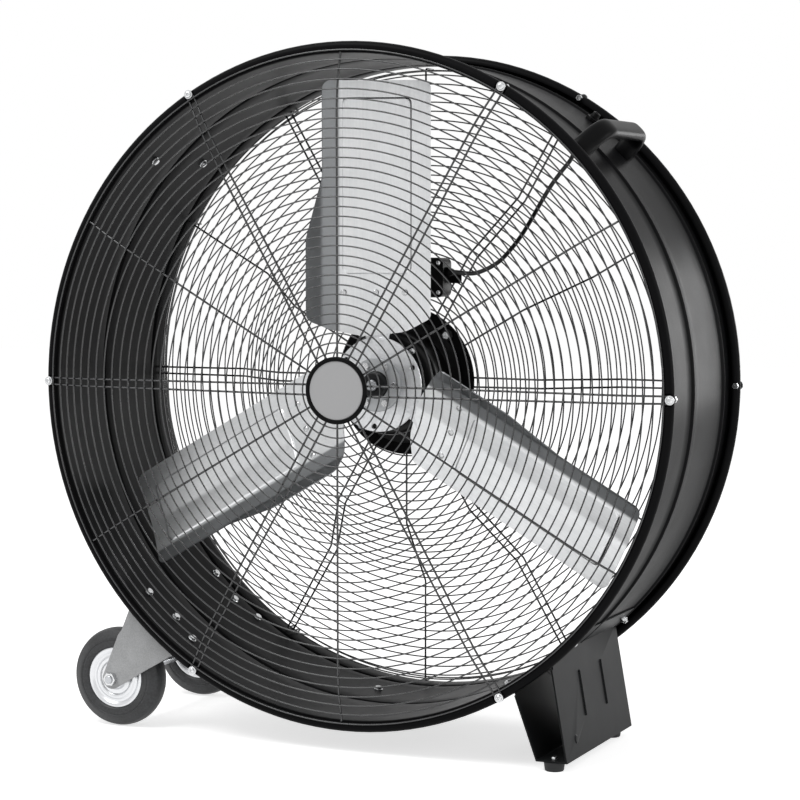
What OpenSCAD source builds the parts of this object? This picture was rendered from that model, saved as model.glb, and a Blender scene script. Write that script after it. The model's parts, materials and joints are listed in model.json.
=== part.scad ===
// Drum fan on two wheels and a foot: a pitched three-blade propeller in a short steel drum.
// X runs to the right, Y to the back and Z up. The origin is on the floor, under the middle of the fan.

/* [Drum] */
// Inner radius of the drum wall
drum_inner_r = 477.5; // [440:0.5:520]
// Length of the drum over its two rolled beads
drum_len = 333; // [320:1:360]
// Thickness of the drum's sheet
sheet_t = 1.2; // [0.8:0.1:2]
// Outer radius of the rolled bead's section
bead_r = 8.5; // [7.5:0.1:10]
// Height of the pressed ribs that stiffen the wall
rib_h = 3.4; // [2:0.1:5]
// Distance of the middle rib in front of the drum's mid-plane
mid_rib_z = 26; // [0:1:60]
// Distance of the rear rib behind the drum's mid-plane
rear_rib_z = 121; // [100:1:130]

/* [Grilles] */
// Diameter of the ring wires
ring_wire = 2.2; // [1.6:0.1:3]
// Diameter of the spoke wires
spoke_wire = 3; // [2.4:0.1:3.6]
// Distance between neighbouring rings
ring_pitch = 13.8; // [12:0.1:16]
// Radius of the smallest front ring
first_ring_r = 54; // [50:0.5:60]
// Number of double spokes, with as many single spokes between them
spoke_count = 6; // [4:1:8]
// Distance of the screw circle outside the bead's middle
screw_offset = 4; // [2:0.5:5]
// Height that the front grille's middle stands above its rim
dome_h = 12; // [6:0.5:20]
// Width of the ring that curves down to the rim
dome_w = 79; // [60:1:110]
// Depth of the rear grille's rim inside the rear bead
rear_rim_depth = 28; // [20:1:35]
// Radius where the rear grille's cone begins
cone_outer_r = 316; // [290:1:340]
// Radius where the rear grille's cone ends
cone_inner_r = 218; // [190:1:240]
// Depth of the cone, towards the front
cone_depth = 72; // [50:1:80]

/* [Badge] */
// Radius of the blank disc in the middle of the front grille
badge_r = 42.3; // [36:0.1:44]
// Width of the black ring round the disc
badge_ring_w = 5.9; // [4:0.1:8]

/* [Screws and bolts] */
// Thread diameter of the grille screws
screw_d = 5; // [4:1:6]
// Thread diameter of the bolts through the drum wall
bolt_d = 6; // [5:1:8]

/* [Motor] */
// Radius of the motor's housing
motor_r = 75; // [70:0.5:80]
// Distance from the drum's mid-plane to the front bell's face
motor_front_z = 6; // [0:1:10]
// Length of the motor over its two bells
motor_len = 122; // [110:1:126]
// Radius of the motor shaft
shaft_r = 8.5; // [7:0.5:10]
// Radius of the circle of motor mounting bolts
mount_circle_r = 99; // [95:1:104]

/* [Propeller] */
// Distance from the drum's mid-plane to the middle of the blades
blade_z = 41; // [36:1:46]
// Pitch of a blade's flat half
blade_pitch = 17; // [10:1:22]
// Radius of the blade tips
blade_tip_r = 446; // [400:1:455]
// Width of the blade behind its crease line, on each side of the radius
blade_half_w = 79; // [65:1:85]
// Thickness of the blade sheet
blade_t = 1.6; // [1.2:0.1:2.5]
// Height of the panel pressed into each blade
panel_h = 1.6; // [0.8:0.1:2]
// Thickness of the spider's arms
arm_t = 3; // [2:0.5:4]
// Radius of the row of rivets on each blade
rivet_row_r = 136; // [130:1:145]

/* [Wheels] */
// Radius of the tyres
wheel_r = 75; // [65:1:85]
// Width of the tyres
wheel_w = 40; // [30:1:42]
// Distance from the drum's mid-plane to the middle of each wheel
wheel_z = 127; // [120:1:128]
// Radius of the axle rod
axle_r = 6; // [5:0.5:8]
// Angle of the wheels round the drum, from the right-hand side
wheel_angle = 229; // [222:1:236]
// Gap between the drum's bead and the tyres
wheel_gap = 27; // [20:0.5:50]
// Thickness of the wheel brackets
bracket_t = 3; // [2:0.5:4]

/* [Foot] */
// Thickness of the foot's sheet
foot_t = 2.5; // [2:0.5:3]
// Height of the rubber pads
pad_h = 13; // [8:0.5:20]
// Radius of the rubber pads
pad_r = 15; // [10:0.5:17]

/* [Handle] */
// Angle of the handle round the drum
handle_angle = 45; // [38:1:50]
// Height of the handle above the drum wall
handle_h = 51; // [42:1:60]
// Width of the handle
handle_w = 30; // [22:1:36]
// Thickness of the handle's grip
grip_t = 18; // [14:1:22]

/* [Hidden] */

$fn = 48;
fine = 180;
eps = 0.01;
weld = 0.06;
seat = 0.1;
running = 0.05;
hole_gap = 0.2;

// Drum
drum_outer_r = drum_inner_r + sheet_t;
bead_z = drum_len / 2 - bead_r;
bead_circle_r = drum_inner_r + bead_r;
rim_r = bead_circle_r + bead_r;
screw_circle_r = bead_circle_r + screw_offset;
loop_r = screw_d / 2 + spoke_wire / 2 + 1;
notch_w = 2 * loop_r + spoke_wire + 2;
notch_floor = bead_z + bead_r - spoke_wire - 0.3;
loop_z = notch_floor + spoke_wire / 2 + seat / 2;

// Front grille
dome_end_r = drum_inner_r - 3.5;
dome_start_r = dome_end_r - dome_w;
dome_arc_r = (dome_w * dome_w + dome_h * dome_h) / (2 * dome_h);
dome_steps = 12;
dome_z = loop_z + dome_h;
ring_lift = spoke_wire / 2 + ring_wire / 2 - weld;
last_ring_r = screw_circle_r - loop_r - ring_wire;
front_ring_radii = [for (r = first_ring_r; r <= last_ring_r; r = r + ring_pitch) r];
spoke_inner_r = badge_r - 8;
wire_sides = 8;
loop_steps = 8;
hairpin_spread = 0.3;
wire_bend = 3.5;

// Badge
badge_ring_r = badge_r + badge_ring_w;
badge_ring_h = 4.4;
badge_z = dome_z + spoke_wire / 2 + seat / 2;
clamp_t = 1.5;
clamp_z = dome_z - spoke_wire / 2 - seat / 2 - clamp_t;

// Rear grille, as points of radius and height along a spoke
rear_loop_z = -loop_z;
rear_wall_r = drum_inner_r - spoke_wire / 2 - ring_wire - 0.5;
rear_rim_z = rear_loop_z + rear_rim_depth;
mount_z = rear_rim_z + cone_depth;
mount_inner_r = 84;
mount_outer_r = 112;
mount_t = 3;
rear_path = [
    [mount_inner_r + 4, mount_z], [cone_inner_r, mount_z], [cone_outer_r, rear_rim_z],
    [rear_wall_r, rear_rim_z], [rear_wall_r, rear_loop_z], [screw_circle_r, rear_loop_z]
];
rear_first_ring = mount_outer_r - mount_inner_r - 1;
rear_ring_end = path_length(rear_path, 4) - ring_wire;

// Screws, washers and nuts
washer_r = screw_d / 2 + 4;
washer_t = 1.2;
washer_z = loop_z + spoke_wire / 2 + seat / 2;
screw_head_h = 3;
nut_h = 4.5;
nut_af = 8;

// Motor
housing_t = 4;
bell_t = 4;
bell_depth = 18;
bell_r = motor_r + 3;
motor_rear_z = motor_front_z - motor_len;
housing_front_z = motor_front_z - bell_depth;
housing_rear_z = motor_rear_z + bell_depth;
bearing_r = 20;
bearing_w = 12;
through_r = motor_r - 11.5;
through_d = 5;
through_angle = 50;
core_len = 50;
core_mid_z = (housing_front_z + housing_rear_z) / 2;
rotor_r = 44;
air_gap = 0.5;
coil_len = 14;
mount_plate_z = mount_z + spoke_wire / 2 - weld;
flange_z = mount_plate_z + mount_t;
flange_t = 5;
flange_r = mount_circle_r - 5;
ear_r = 9;
mount_bolt_angle = 45;

// Terminal box and cable
box_w = 60;
box_h = 58;
box_d = 30;
box_x = 15;
box_y = 128;
box_wall = 2.5;
lid_t = 4;
strap_t = 2;
strap_w = 18;
strap_z = mount_z + spoke_wire / 2 - weld;
box_z = strap_z + strap_t;
cable_r = 3.25;
cable_sides = 10;
box_gland_y = 165;
gland_len = 9;
drum_gland_angle = 54;
drum_gland_z = -103;
drum_gland_in = 15;
drum_gland_r = 9;
// The motor cable's points between its glands: right, up and forward of the drum's middle
cable_points = [
    [112, 163, -54], [131, 169, -60], [149, 181, -69], [161, 198, -83], [171, 217, -98], [181, 243, -117],
    [191, 268, -130], [208, 295, -131], [226, 317, -130], [240, 332, -126], [253, 349, -113]
];
cable_start = [box_x + box_w, box_gland_y, box_z + box_d / 2];
cable_in = [for (x = [-1, 6, 14]) cable_start + [x, 0, 0]];
cable_out = [for (x = [28, 16, 4]) polar(drum_inner_r - x, drum_gland_angle, drum_gland_z)];

// Propeller
spider_disc_r = 50;
spider_disc_t = 4;
hub_flange_r = 40;
hub_flange_t = 6;
hub_r = 22;
hub_rear_z = motor_front_z + 6;
hub_flange_z = blade_z - blade_t / 2 - arm_t / 2 + spider_disc_t / 2;
hub_front_z = hub_flange_z + hub_flange_t + 12;
shaft_front_z = hub_front_z + 5;
spider_disc_z = hub_flange_z - spider_disc_t;
hub_bolt_circle_r = 31;
key_w = 5;
key_len = 24;
crease_s = -7.5;
crease_angle = 9;
strip_angle = 16;
flange_angle = 38;
section = blade_section();
panel_half_w = 51;
panel_low_r = 163;
panel_high_r = blade_tip_r - 25;
rivet_s = [-49, -2, 41];
rivet_d = 4.8;
arm_end_r = rivet_row_r + 26;
arm_wide_r = rivet_row_r - 20;
arm_neck_r = spider_disc_r + 24;
arm_neck = 17;
arm_left = 58;
arm_right = 52;

// Wheels
axle_reach = rim_r + wheel_gap + wheel_r;
axis_height = axle_reach * sin(wheel_angle - 180) + wheel_r;
axle_xy = [axle_reach * cos(wheel_angle), axle_reach * sin(wheel_angle)];
wheel_hub_half = wheel_w / 2 + 2;
rim_r_outer = wheel_r * 0.61;
bracket_top_z = bead_z - bead_r - 0.6 - bracket_t / 2;
bracket_low_z = wheel_z + wheel_hub_half + 2.4 + bracket_t / 2;
bracket_bend_r = axle_reach - wheel_r + 13;
bracket_tip_r = 16;
bracket_half_angle = 6.8;
flange_inner_r = drum_outer_r + seat;
axle_nut_h = 8;
axle_half = bracket_low_z + bracket_t / 2 + axle_nut_h + 3;
// The rear bracket's bolts stand clear of the drum's rear rib
bracket_bolts = [[-6.5, bead_z - 49], [0, bead_z - 63], [5.5, bead_z - 49]];
rear_bracket_bolts = [[-6.5, -bead_z + 56], [0, -bead_z + 66], [5.5, -bead_z + 56]];
all_bracket_bolts = concat(bracket_bolts, rear_bracket_bolts);

// Foot, as points right of and below the fan's axis
foot_floor = -axis_height + pad_h;
foot_out_deg = 311.2;
foot_in_deg = 302.3;
foot_out_splay = 26.7;
foot_in_splay = 39.2;
foot_out_top = wall_point(foot_out_deg);
foot_out_low = [foot_out_top[0] + foot_out_splay, foot_floor];
foot_in_top = wall_point(foot_in_deg);
foot_in_low = [foot_in_top[0] + foot_in_splay, foot_floor];
foot_front_z = bead_z - 5;
foot_neck_z = bead_z - bead_r - 0.6;
foot_rear_z = -126;
foot_flange_deg = 5;
foot_bolts_at = [
    [foot_in_angle(), 113], [foot_in_angle(), -104], [foot_out_angle(), 113], [foot_out_angle(), -104]
];
pad_x = (foot_out_low[0] + foot_in_low[0]) / 2;
pad_z = [foot_front_z - pad_r + 3, foot_rear_z + pad_r + 11];
foot_rib_z = [53, -37];

// Handle
handle_front_z = 124;
handle_rear_z = -96;
handle_bolts_z = [104, -76];

// Bolts in the drum wall that carry nothing: angle and distance in front of the mid-plane
plain_bolts = [[136, 95], [136, -52], [265, -52]];

// The fan's middle lies behind the origin by half of what the badge stands out in front
front_reach = badge_z + badge_ring_h;
rear_reach = washer_z + washer_t + screw_head_h;
fan_y = (front_reach - rear_reach) / 2;

// Plane geometry
function polar(r, a, z) = [r * cos(a), r * sin(a), z];
function unit(a, b) = (b - a) / norm(b - a);
function left_of(v) = [-v[1], v[0]];
function wall_point(a) = [drum_outer_r * cos(a), drum_outer_r * sin(a)];
function foot_in_angle() = foot_in_deg - 0.5 * foot_flange_deg;
function foot_out_angle() = foot_out_deg + 0.55 * foot_flange_deg;

// A line's point i moved sideways by d, with mitred corners
function beside(p, i, d) =
    let (
        last = len(p) - 1,
        u = unit(p[max(i - 1, 0)], p[max(i, 1)]),
        v = unit(p[min(i, last - 1)], p[min(i + 1, last)]),
        n = left_of(u) + left_of(v)
    ) p[i] + 2 * d * n / (n * n);

// The outline of a strip that follows a line, from distance a to distance b beside it
function strip(p, a, b) = concat(
    [for (i = [0:len(p) - 1]) beside(p, i, a)],
    [for (i = [len(p) - 1:-1:0]) beside(p, i, b)]
);

// A rounded corner at b between a and c
function corner(a, b, c, r, steps) =
    let (
        u = unit(b, a),
        v = unit(b, c),
        half = acos(u * v) / 2,
        m = b + (u + v) / norm(u + v) * r / sin(half),
        p = b + u * r / tan(half) - m,
        q = b + v * r / tan(half) - m,
        start = atan2(p[1], p[0]),
        turn = atan2(q[1], q[0]) - start,
        sweep = turn > 180 ? turn - 360 : turn < -180 ? turn + 360 : turn
    ) [for (i = [0:steps]) m + r * [cos(start + sweep * i / steps), sin(start + sweep * i / steps)]];

// An outline whose points are [x, y, corner radius]
function rounded(p, steps = 5) = [
    for (i = [0:len(p) - 1])
        let (
            a = p[(i + len(p) - 1) % len(p)],
            b = p[i],
            c = p[(i + 1) % len(p)]
        )
        each b[2] > 0
            ? corner([a[0], a[1]], [b[0], b[1]], [c[0], c[1]], b[2], steps)
            : [[b[0], b[1]]]
];

// Length of a line up to point n, and the point at a distance along it with its direction
function path_length(p, n) = n == 0 ? 0 : path_length(p, n - 1) + norm(p[n] - p[n - 1]);
function path_leg(p, s, i = 0) = i >= len(p) - 2 || s <= path_length(p, i + 1) ? i : path_leg(p, s, i + 1);
function path_at(p, s) =
    let (i = path_leg(p, s), u = unit(p[i], p[i + 1])) [p[i] + u * (s - path_length(p, i)), u];

// The point where a line from p touches a circle, on one side
function touch_point(p, c, r, side) =
    let (
        d = norm(p - c),
        base = atan2(p[1] - c[1], p[0] - c[0]),
        a = base + side * acos(r / d)
    ) c + r * [cos(a), sin(a)];

// The blade's cross-section, from its rear edge over the crease to the folded flange
function fold(p, length, a) = [p[0] - length * cos(a), p[1] + length * sin(a)];
function blade_section() =
    let (
        a = [blade_half_w, 0],
        b = [crease_s, 0],
        c = fold(b, blade_half_w * 0.6, crease_angle),
        d = fold(c, blade_half_w * 0.33, strip_angle),
        e = fold(d, 28, flange_angle)
    ) [a, b, c, d, e];

// Shared shapes
module fan_frame() translate([0, fan_y, axis_height]) rotate([90, 0, 0]) children();
module at_angle(a, r = 0) rotate(a) translate([r, 0, 0]) children();
module facing_out() rotate([0, 90, 0]) children();
module side_profile() rotate([90, 0, 0]) children();

module pipe(r_out, r_in, h) difference() {
    cylinder(h = h, r = r_out);
    translate([0, 0, -1]) cylinder(h = h + 2, r = r_in);
}

module wire_ring(r, z, d, sides = wire_sides) translate([0, 0, z])
    rotate_extrude($fn = fine) translate([r, 0]) circle(d = d, $fn = sides);

module hexagon(af, h) cylinder(h = h, r = af / 2 / cos(30), $fn = 6);

module hex_nut(af, h, bore_r) difference() {
    hexagon(af, h);
    translate([0, 0, -1]) cylinder(h = h + 2, r = bore_r);
}

module pan_head(r, h) intersection() {
    cylinder(h = h, r = r);
    translate([0, 0, h - r * 1.6]) sphere(r = r * 1.6);
}

module each_screw() for (i = [0:spoke_count - 1]) at_angle(i * 360 / spoke_count, screw_circle_r) children();

// A bolt through the drum wall and a stack on it, with its head inside
module wall_bolt(a, z, stack) at_angle(a) translate([0, 0, z]) facing_out() {
    head_z = drum_inner_r - seat;
    nut_z = drum_outer_r + stack + 2 * seat;
    translate([0, 0, head_z]) rotate([180, 0, 0]) {
        cylinder(h = 1.4, r = bolt_d * 1.1);
        translate([0, 0, 1.4]) hexagon(bolt_d * 1.65, bolt_d * 0.6);
    }
    translate([0, 0, head_z - eps]) cylinder(h = nut_z - head_z + bolt_d + 1, d = bolt_d);
    translate([0, 0, nut_z]) hex_nut(bolt_d * 1.65, bolt_d * 0.8, bolt_d / 2 - eps);
}

module wall_hole(a, z, d) at_angle(a) translate([0, 0, z]) facing_out()
    translate([0, 0, drum_inner_r - 20]) cylinder(h = 60, d = d);

// Drum
module bead_curl() difference() {
    circle(r = bead_r);
    circle(r = bead_r - sheet_t);
    translate([-2 * bead_r, -2 * bead_r]) square([2 * bead_r - sheet_t, 2 * bead_r]);
}

module drum_profile() {
    translate([drum_inner_r, -bead_z]) square([sheet_t, 2 * bead_z]);
    for (s = [-1, 1]) translate([bead_circle_r, s * bead_z]) scale([1, s]) bead_curl();
}

module rib_bump(extra) intersection() {
    translate([drum_outer_r - 3 * rib_h + extra, -3 * rib_h]) square([10 * rib_h, 6 * rib_h]);
    translate([drum_outer_r - 0.6 * rib_h, 0]) circle(r = 1.6 * rib_h + extra);
}

module rib_band(z, extra) translate([0, 0, z]) rotate_extrude($fn = fine) rib_bump(extra);

module bead_notches(floor_z, wide, high) each_screw()
    translate([-2 * bead_r, -wide / 2, floor_z]) cube([4 * bead_r, wide, high]);

module drum_shell() color("#1b1c1e") fan_frame() difference() {
    union() {
        rotate_extrude($fn = fine) drum_profile();
        for (z = [mid_rib_z, -rear_rib_z]) translate([0, 0, z]) rotate_extrude($fn = fine) difference() {
            rib_bump(0);
            translate([0, -50]) square([drum_inner_r, 100]);
        }
        for (s = [0, 1]) mirror([0, 0, s]) intersection() {
            wire_ring(bead_circle_r, bead_z, 2 * (bead_r - sheet_t / 4), $fn);
            bead_notches(notch_floor - sheet_t, notch_w + 2 * sheet_t, 20);
        }
    }
    for (z = [mid_rib_z, -rear_rib_z]) rib_band(z, -sheet_t);
    for (s = [0, 1]) mirror([0, 0, s]) {
        bead_notches(notch_floor, notch_w, 20);
        each_screw() translate([0, 0, bead_z - 20]) cylinder(h = 40, d = screw_d + 2 * hole_gap);
    }
    for (b = plain_bolts) wall_hole(b[0], b[1], bolt_d + 2 * hole_gap);
    for (z = handle_bolts_z) wall_hole(handle_angle, z, bolt_d + 2 * hole_gap);
    for (b = foot_bolts_at) wall_hole(b[0], b[1], bolt_d + 2 * hole_gap);
    for (b = all_bracket_bolts) wall_hole(wheel_angle + b[0], b[1], bolt_d + 2 * hole_gap);
    wall_hole(drum_gland_angle, drum_gland_z, 2 * drum_gland_r - 4);
}

module wall_bolts() color("#c9cacc") fan_frame() for (b = plain_bolts) wall_bolt(b[0], b[1], 0);

// Front grille
function dome_at(r, lift) = r <= dome_start_r
    ? dome_z + lift
    : r >= dome_end_r
        ? loop_z + lift
        : dome_z - dome_arc_r + sqrt(pow(dome_arc_r + lift, 2) - pow(r - dome_start_r, 2));

module front_grille_rings() color("#222326") fan_frame()
    for (r = front_ring_radii) wire_ring(r, dome_at(r, ring_lift), ring_wire);

// A front spoke as points of radius and height
function front_spoke(end_r) = concat(
    [[spoke_inner_r, dome_z]],
    [for (i = [0:dome_steps]) let (r = dome_start_r + dome_w * i / dome_steps) [r, dome_at(r, 0)]],
    [[end_r, loop_z]]
);
function single_spoke(line) = [for (p = line) [p[0], 0, p[1]]];

// A double spoke: out along one leg, round its screw and back along the other
function leg(line, s) = [for (p = line)
    let (x = p[0] - screw_circle_r, y = s * loop_r, a = -s * hairpin_spread)
        [screw_circle_r + x * cos(a) - y * sin(a), x * sin(a) + y * cos(a), p[1]]];
function hairpin(line) = let (last = len(line) - 1, turn = 90 - hairpin_spread) concat(
    leg(line, 1),
    [for (i = [1:loop_steps - 1]) let (a = turn - 2 * turn * i / loop_steps)
        [screw_circle_r + loop_r * cos(a), loop_r * sin(a), line[last][1]]],
    leg([for (i = [last:-1:0]) line[i]], -1)
);

module spokes(double, single) for (i = [0:spoke_count - 1]) {
    at_angle(i * 360 / spoke_count) tube_along(hairpin(double), spoke_wire / 2, wire_sides);
    at_angle((i + 0.5) * 360 / spoke_count) tube_along(single_spoke(single), spoke_wire / 2, wire_sides);
}

module front_grille_spokes() color("#222326") fan_frame()
    spokes(front_spoke(screw_circle_r), front_spoke(drum_inner_r + 1.4));

module grille_screw() {
    difference() {
        translate([0, 0, washer_z]) cylinder(h = washer_t, r = washer_r);
        translate([0, 0, washer_z - 1]) cylinder(h = washer_t + 2, r = screw_d / 2 + hole_gap);
    }
    difference() {
        union() {
            translate([0, 0, washer_z + washer_t]) pan_head(screw_d * 0.95, screw_head_h);
            translate([0, 0, bead_z - bead_r - nut_h - 2])
                cylinder(h = washer_z + washer_t + 0.5 - bead_z + bead_r + nut_h + 2, d = screw_d);
        }
        for (a = [0, 90]) rotate(a)
            translate([-screw_d * 0.6, -0.5, washer_z + washer_t + screw_head_h - 1.2])
                cube([screw_d * 1.2, 1, 3]);
    }
}

module front_grille_screws() color("#d4d5d7") fan_frame() each_screw() grille_screw();

module rear_grille_screws() color("#d4d5d7") fan_frame() mirror([0, 0, 1]) each_screw() grille_screw();

module grille_nuts() color("#c9cacc") fan_frame() for (s = [0, 1]) mirror([0, 0, s]) each_screw()
    translate([0, 0, bead_z - bead_r - nut_h]) hex_nut(nut_af, nut_h, screw_d / 2 + hole_gap / 2);

// Badge
module badge_disc() color("#a5a5a6") fan_frame() translate([0, 0, badge_z + 1.4]) rotate_extrude($fn = fine)
    polygon(rounded([[0, 0, 0], [badge_r - seat, 0, 0], [badge_r - seat, 1.6, 0.8], [0, 1.6, 0]]));

module badge_ring() color("#141416") fan_frame() translate([0, 0, badge_z]) difference() {
    rotate_extrude($fn = fine) {
        square([badge_r + 1, 1.3]);
        polygon(rounded([
            [badge_r, 0, 0], [badge_ring_r, 0, 0.6], [badge_ring_r, badge_ring_h, 2.2],
            [badge_r, badge_ring_h, 1.4]
        ]));
    }
    translate([0, 0, -1]) cylinder(h = 3, r = 3.2);
}

module badge_clamp_plate() color("#1b1c1e") fan_frame() translate([0, 0, clamp_z])
    pipe(badge_r - 2, 3.2, clamp_t);

module badge_bolt() color("#c9cacc") fan_frame() {
    translate([0, 0, clamp_z - 8]) cylinder(h = badge_z + 1.3 - clamp_z + 8, r = 3);
    translate([0, 0, clamp_z - 5]) hex_nut(10, 5 - eps, 3 - eps);
}

// Rear grille
function bend(a, b, c) = let (u = (a - b) / norm(a - b), v = (c - b) / norm(c - b))
    [for (t = [0:3]) b + wire_bend * (u * pow(1 - t / 3, 2) + v * pow(t / 3, 2))];
function rear_spoke(last) = concat(
    [rear_path[0]],
    [for (i = [1:last - 1]) each bend(rear_path[i - 1], rear_path[i], rear_path[i + 1])],
    [rear_path[last]]
);

module rear_grille_spokes() color("#222326") fan_frame() spokes(rear_spoke(5), rear_spoke(4));

module rear_grille_rings() color("#222326") fan_frame()
    for (s = [rear_first_ring:ring_pitch:rear_ring_end]) {
        here = path_at(rear_path, s);
        p = here[0] - ring_lift * left_of(here[1]);
        wire_ring(p[0], p[1], ring_wire);
    }

// Motor mount
module each_mount_bolt() for (i = [0:3]) at_angle(mount_bolt_angle + 90 * i, mount_circle_r) children();

module motor_mount_plate() color("#1b1c1e") fan_frame() difference() {
    translate([0, 0, mount_plate_z]) pipe(mount_outer_r, mount_inner_r, mount_t);
    each_mount_bolt() translate([0, 0, mount_plate_z - 5]) cylinder(h = 15, r = bolt_d / 2 + hole_gap);
}

module motor_mount_bolts() color("#b9babd") fan_frame() each_mount_bolt() {
    translate([0, 0, flange_z + flange_t]) hexagon(bolt_d * 1.65, bolt_d * 0.65);
    translate([0, 0, mount_plate_z - 8]) cylinder(h = mount_t + flange_t + 9, d = bolt_d);
    translate([0, 0, mount_plate_z - 5 - seat]) hex_nut(bolt_d * 1.65, 5, bolt_d / 2 - eps);
}

// Motor
module motor_housing() color("#17181a") fan_frame() difference() {
    union() {
        translate([0, 0, housing_rear_z])
            cylinder(h = housing_front_z - housing_rear_z, r = motor_r, $fn = fine);
        translate([0, 0, flange_z]) cylinder(h = flange_t, r = flange_r, $fn = fine);
        each_mount_bolt() translate([0, 0, flange_z]) cylinder(h = flange_t, r = ear_r);
    }
    translate([0, 0, housing_rear_z - 1])
        cylinder(h = housing_front_z - housing_rear_z + 2, r = motor_r - housing_t, $fn = fine);
    each_mount_bolt() translate([0, 0, flange_z - 5]) cylinder(h = 20, r = bolt_d / 2 + hole_gap);
}

module bell_profile() difference() {
    polygon(rounded([
        [0, 0, 0], [bell_r, 0, 0], [bell_r, bell_depth, 9], [bell_r * 0.55, bell_depth, 0],
        [bell_r * 0.5, bell_depth - 2, 0], [0, bell_depth - 2, 0]
    ]));
    polygon(rounded([
        [bearing_r + 4, -1, 0], [bell_r - 2 * bell_t, -1, 0],
        [bell_r - 2 * bell_t, bell_depth - bell_t - 2, 5], [bearing_r + 4, bell_depth - bell_t - 2, 3]
    ]));
    translate([-1, -1]) square([bearing_r + 1, bearing_w + 1]);
    translate([-1, -1]) square([shaft_r + 1.5, bell_depth + 2]);
}

module each_through_bolt() for (i = [0:3]) at_angle(through_angle + 90 * i, through_r) children();

module bell() difference() {
    rotate_extrude($fn = fine) bell_profile();
    each_through_bolt() translate([0, 0, -1]) cylinder(h = bell_depth + 2, r = through_d / 2 + hole_gap);
}

module motor_front_bell() color("#17181a") fan_frame() translate([0, 0, housing_front_z]) bell();

module motor_rear_bell() color("#17181a") fan_frame() translate([0, 0, housing_rear_z]) mirror([0, 0, 1])
    bell();

module motor_through_bolts() color("#b9babd") fan_frame() each_through_bolt() {
    translate([0, 0, motor_front_z + seat]) pan_head(4.6, 3.2);
    translate([0, 0, motor_rear_z - 6]) cylinder(h = motor_len + 6 + seat + 1, d = through_d);
    translate([0, 0, motor_rear_z - 4 - seat]) hex_nut(8, 4, through_d / 2 - eps);
}

module stator_core() color("#8b8d90") fan_frame() difference() {
    translate([0, 0, core_mid_z - core_len / 2])
        pipe(motor_r - housing_t - 0.02, rotor_r + air_gap, core_len);
    each_through_bolt() translate([0, 0, core_mid_z - core_len])
        cylinder(h = 2 * core_len, r = through_d / 2 + 0.4);
    for (i = [0:23]) rotate(15 * i) translate([rotor_r - 1, -1.5, core_mid_z - core_len])
        cube([12, 3, 2 * core_len]);
}

module stator_windings() color("#a2602c") fan_frame() for (s = [0, 1])
    translate([0, 0, core_mid_z]) mirror([0, 0, s]) translate([0, 0, core_len / 2]) rotate_extrude($fn = fine)
        polygon(rounded([
            [rotor_r + 3, 0, 0], [through_r - 4, 0, 0], [through_r - 4, coil_len, 5],
            [rotor_r + 3, coil_len, 5]
        ]));

module bearing() difference() {
    pipe(bearing_r - 0.02, shaft_r + running, bearing_w);
    for (z = [-0.6, bearing_w - 0.6]) translate([0, 0, z]) pipe(bearing_r - 3.5, shaft_r + 3.5, 1.2);
}

module front_bearing() color("#c4c6c8") fan_frame() translate([0, 0, housing_front_z]) bearing();

module rear_bearing() color("#c4c6c8") fan_frame() translate([0, 0, housing_rear_z - bearing_w]) bearing();

// Terminal box and cable
module box_outline(inset, r) translate([box_x, box_y]) polygon(rounded([
    [inset, inset, r], [box_w - inset, inset, r], [box_w - inset, box_h - inset, r], [inset, box_h - inset, r]
]));

module box_corners() for (x = [7, box_w - 7], y = [7, box_h - 7])
    translate([box_x + x, box_y + y, 0]) children();

module terminal_box() color("#121214") fan_frame() difference() {
    translate([0, 0, box_z]) union() {
        difference() {
            linear_extrude(box_d) box_outline(0, 8);
            translate([0, 0, box_wall]) linear_extrude(box_d) box_outline(box_wall, 6);
        }
        box_corners() cylinder(h = box_d, r = 4);
    }
    box_corners() translate([0, 0, box_z + 8]) cylinder(h = box_d, r = 1.7);
    translate([box_x + box_w - 10, box_gland_y, box_z + box_d / 2]) facing_out() cylinder(h = 20, r = 6);
}

module terminal_box_lid() color("#121214") fan_frame() translate([0, 0, box_z + box_d]) difference() {
    linear_extrude(lid_t) box_outline(-0.6, 8.5);
    box_corners() translate([0, 0, -1]) cylinder(h = lid_t + 2, r = 1.9);
}

module terminal_box_screws() color("#b9babd") fan_frame() box_corners() {
    translate([0, 0, box_z + 14]) cylinder(h = box_d + lid_t - 14 + eps, r = 1.6);
    translate([0, 0, box_z + box_d + lid_t]) pan_head(3.4, 2);
}

module terminal_box_bracket() color("#1b1c1e") fan_frame()
    translate([-8, box_y + box_h / 2 - strap_w / 2, strap_z]) linear_extrude(strap_t) polygon(rounded([
        [0, 0, 4], [box_x + box_w + 24, 0, 4], [box_x + box_w + 24, strap_w, 4], [0, strap_w, 4]
    ]));

module box_gland() color("#0e0e10") fan_frame()
    translate([box_x + box_w, box_gland_y, box_z + box_d / 2]) rotate([0, 90, 0]) difference() {
        union() {
            translate([0, 0, -box_wall - 2]) cylinder(h = box_wall + 3, r = 5.9);
            translate([0, 0, seat]) hexagon(15, 4);
            translate([0, 0, 4]) cylinder(h = gland_len - 4, r1 = 6.5, r2 = 5);
        }
        translate([0, 0, -10]) cylinder(h = 30, r = cable_r + 0.3);
    }

module drum_gland() color("#0e0e10") fan_frame()
    at_angle(drum_gland_angle) translate([0, 0, drum_gland_z]) facing_out() difference() {
        union() {
            translate([0, 0, drum_inner_r - drum_gland_in]) cylinder(h = drum_gland_in - 5, r1 = 5.5, r2 = 7);
            translate([0, 0, drum_inner_r - 5 - 3 * seat]) hexagon(20, 5);
            translate([0, 0, drum_inner_r - 2]) cylinder(h = sheet_t + 10, r = drum_gland_r - 2.2);
            translate([0, 0, drum_outer_r + seat]) hexagon(20, 5);
            translate([0, 0, drum_outer_r + 5]) cylinder(h = 9, r1 = 7, r2 = 5.5);
        }
        translate([0, 0, drum_inner_r - 30]) cylinder(h = 60, r = cable_r + 0.3);
    }

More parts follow.
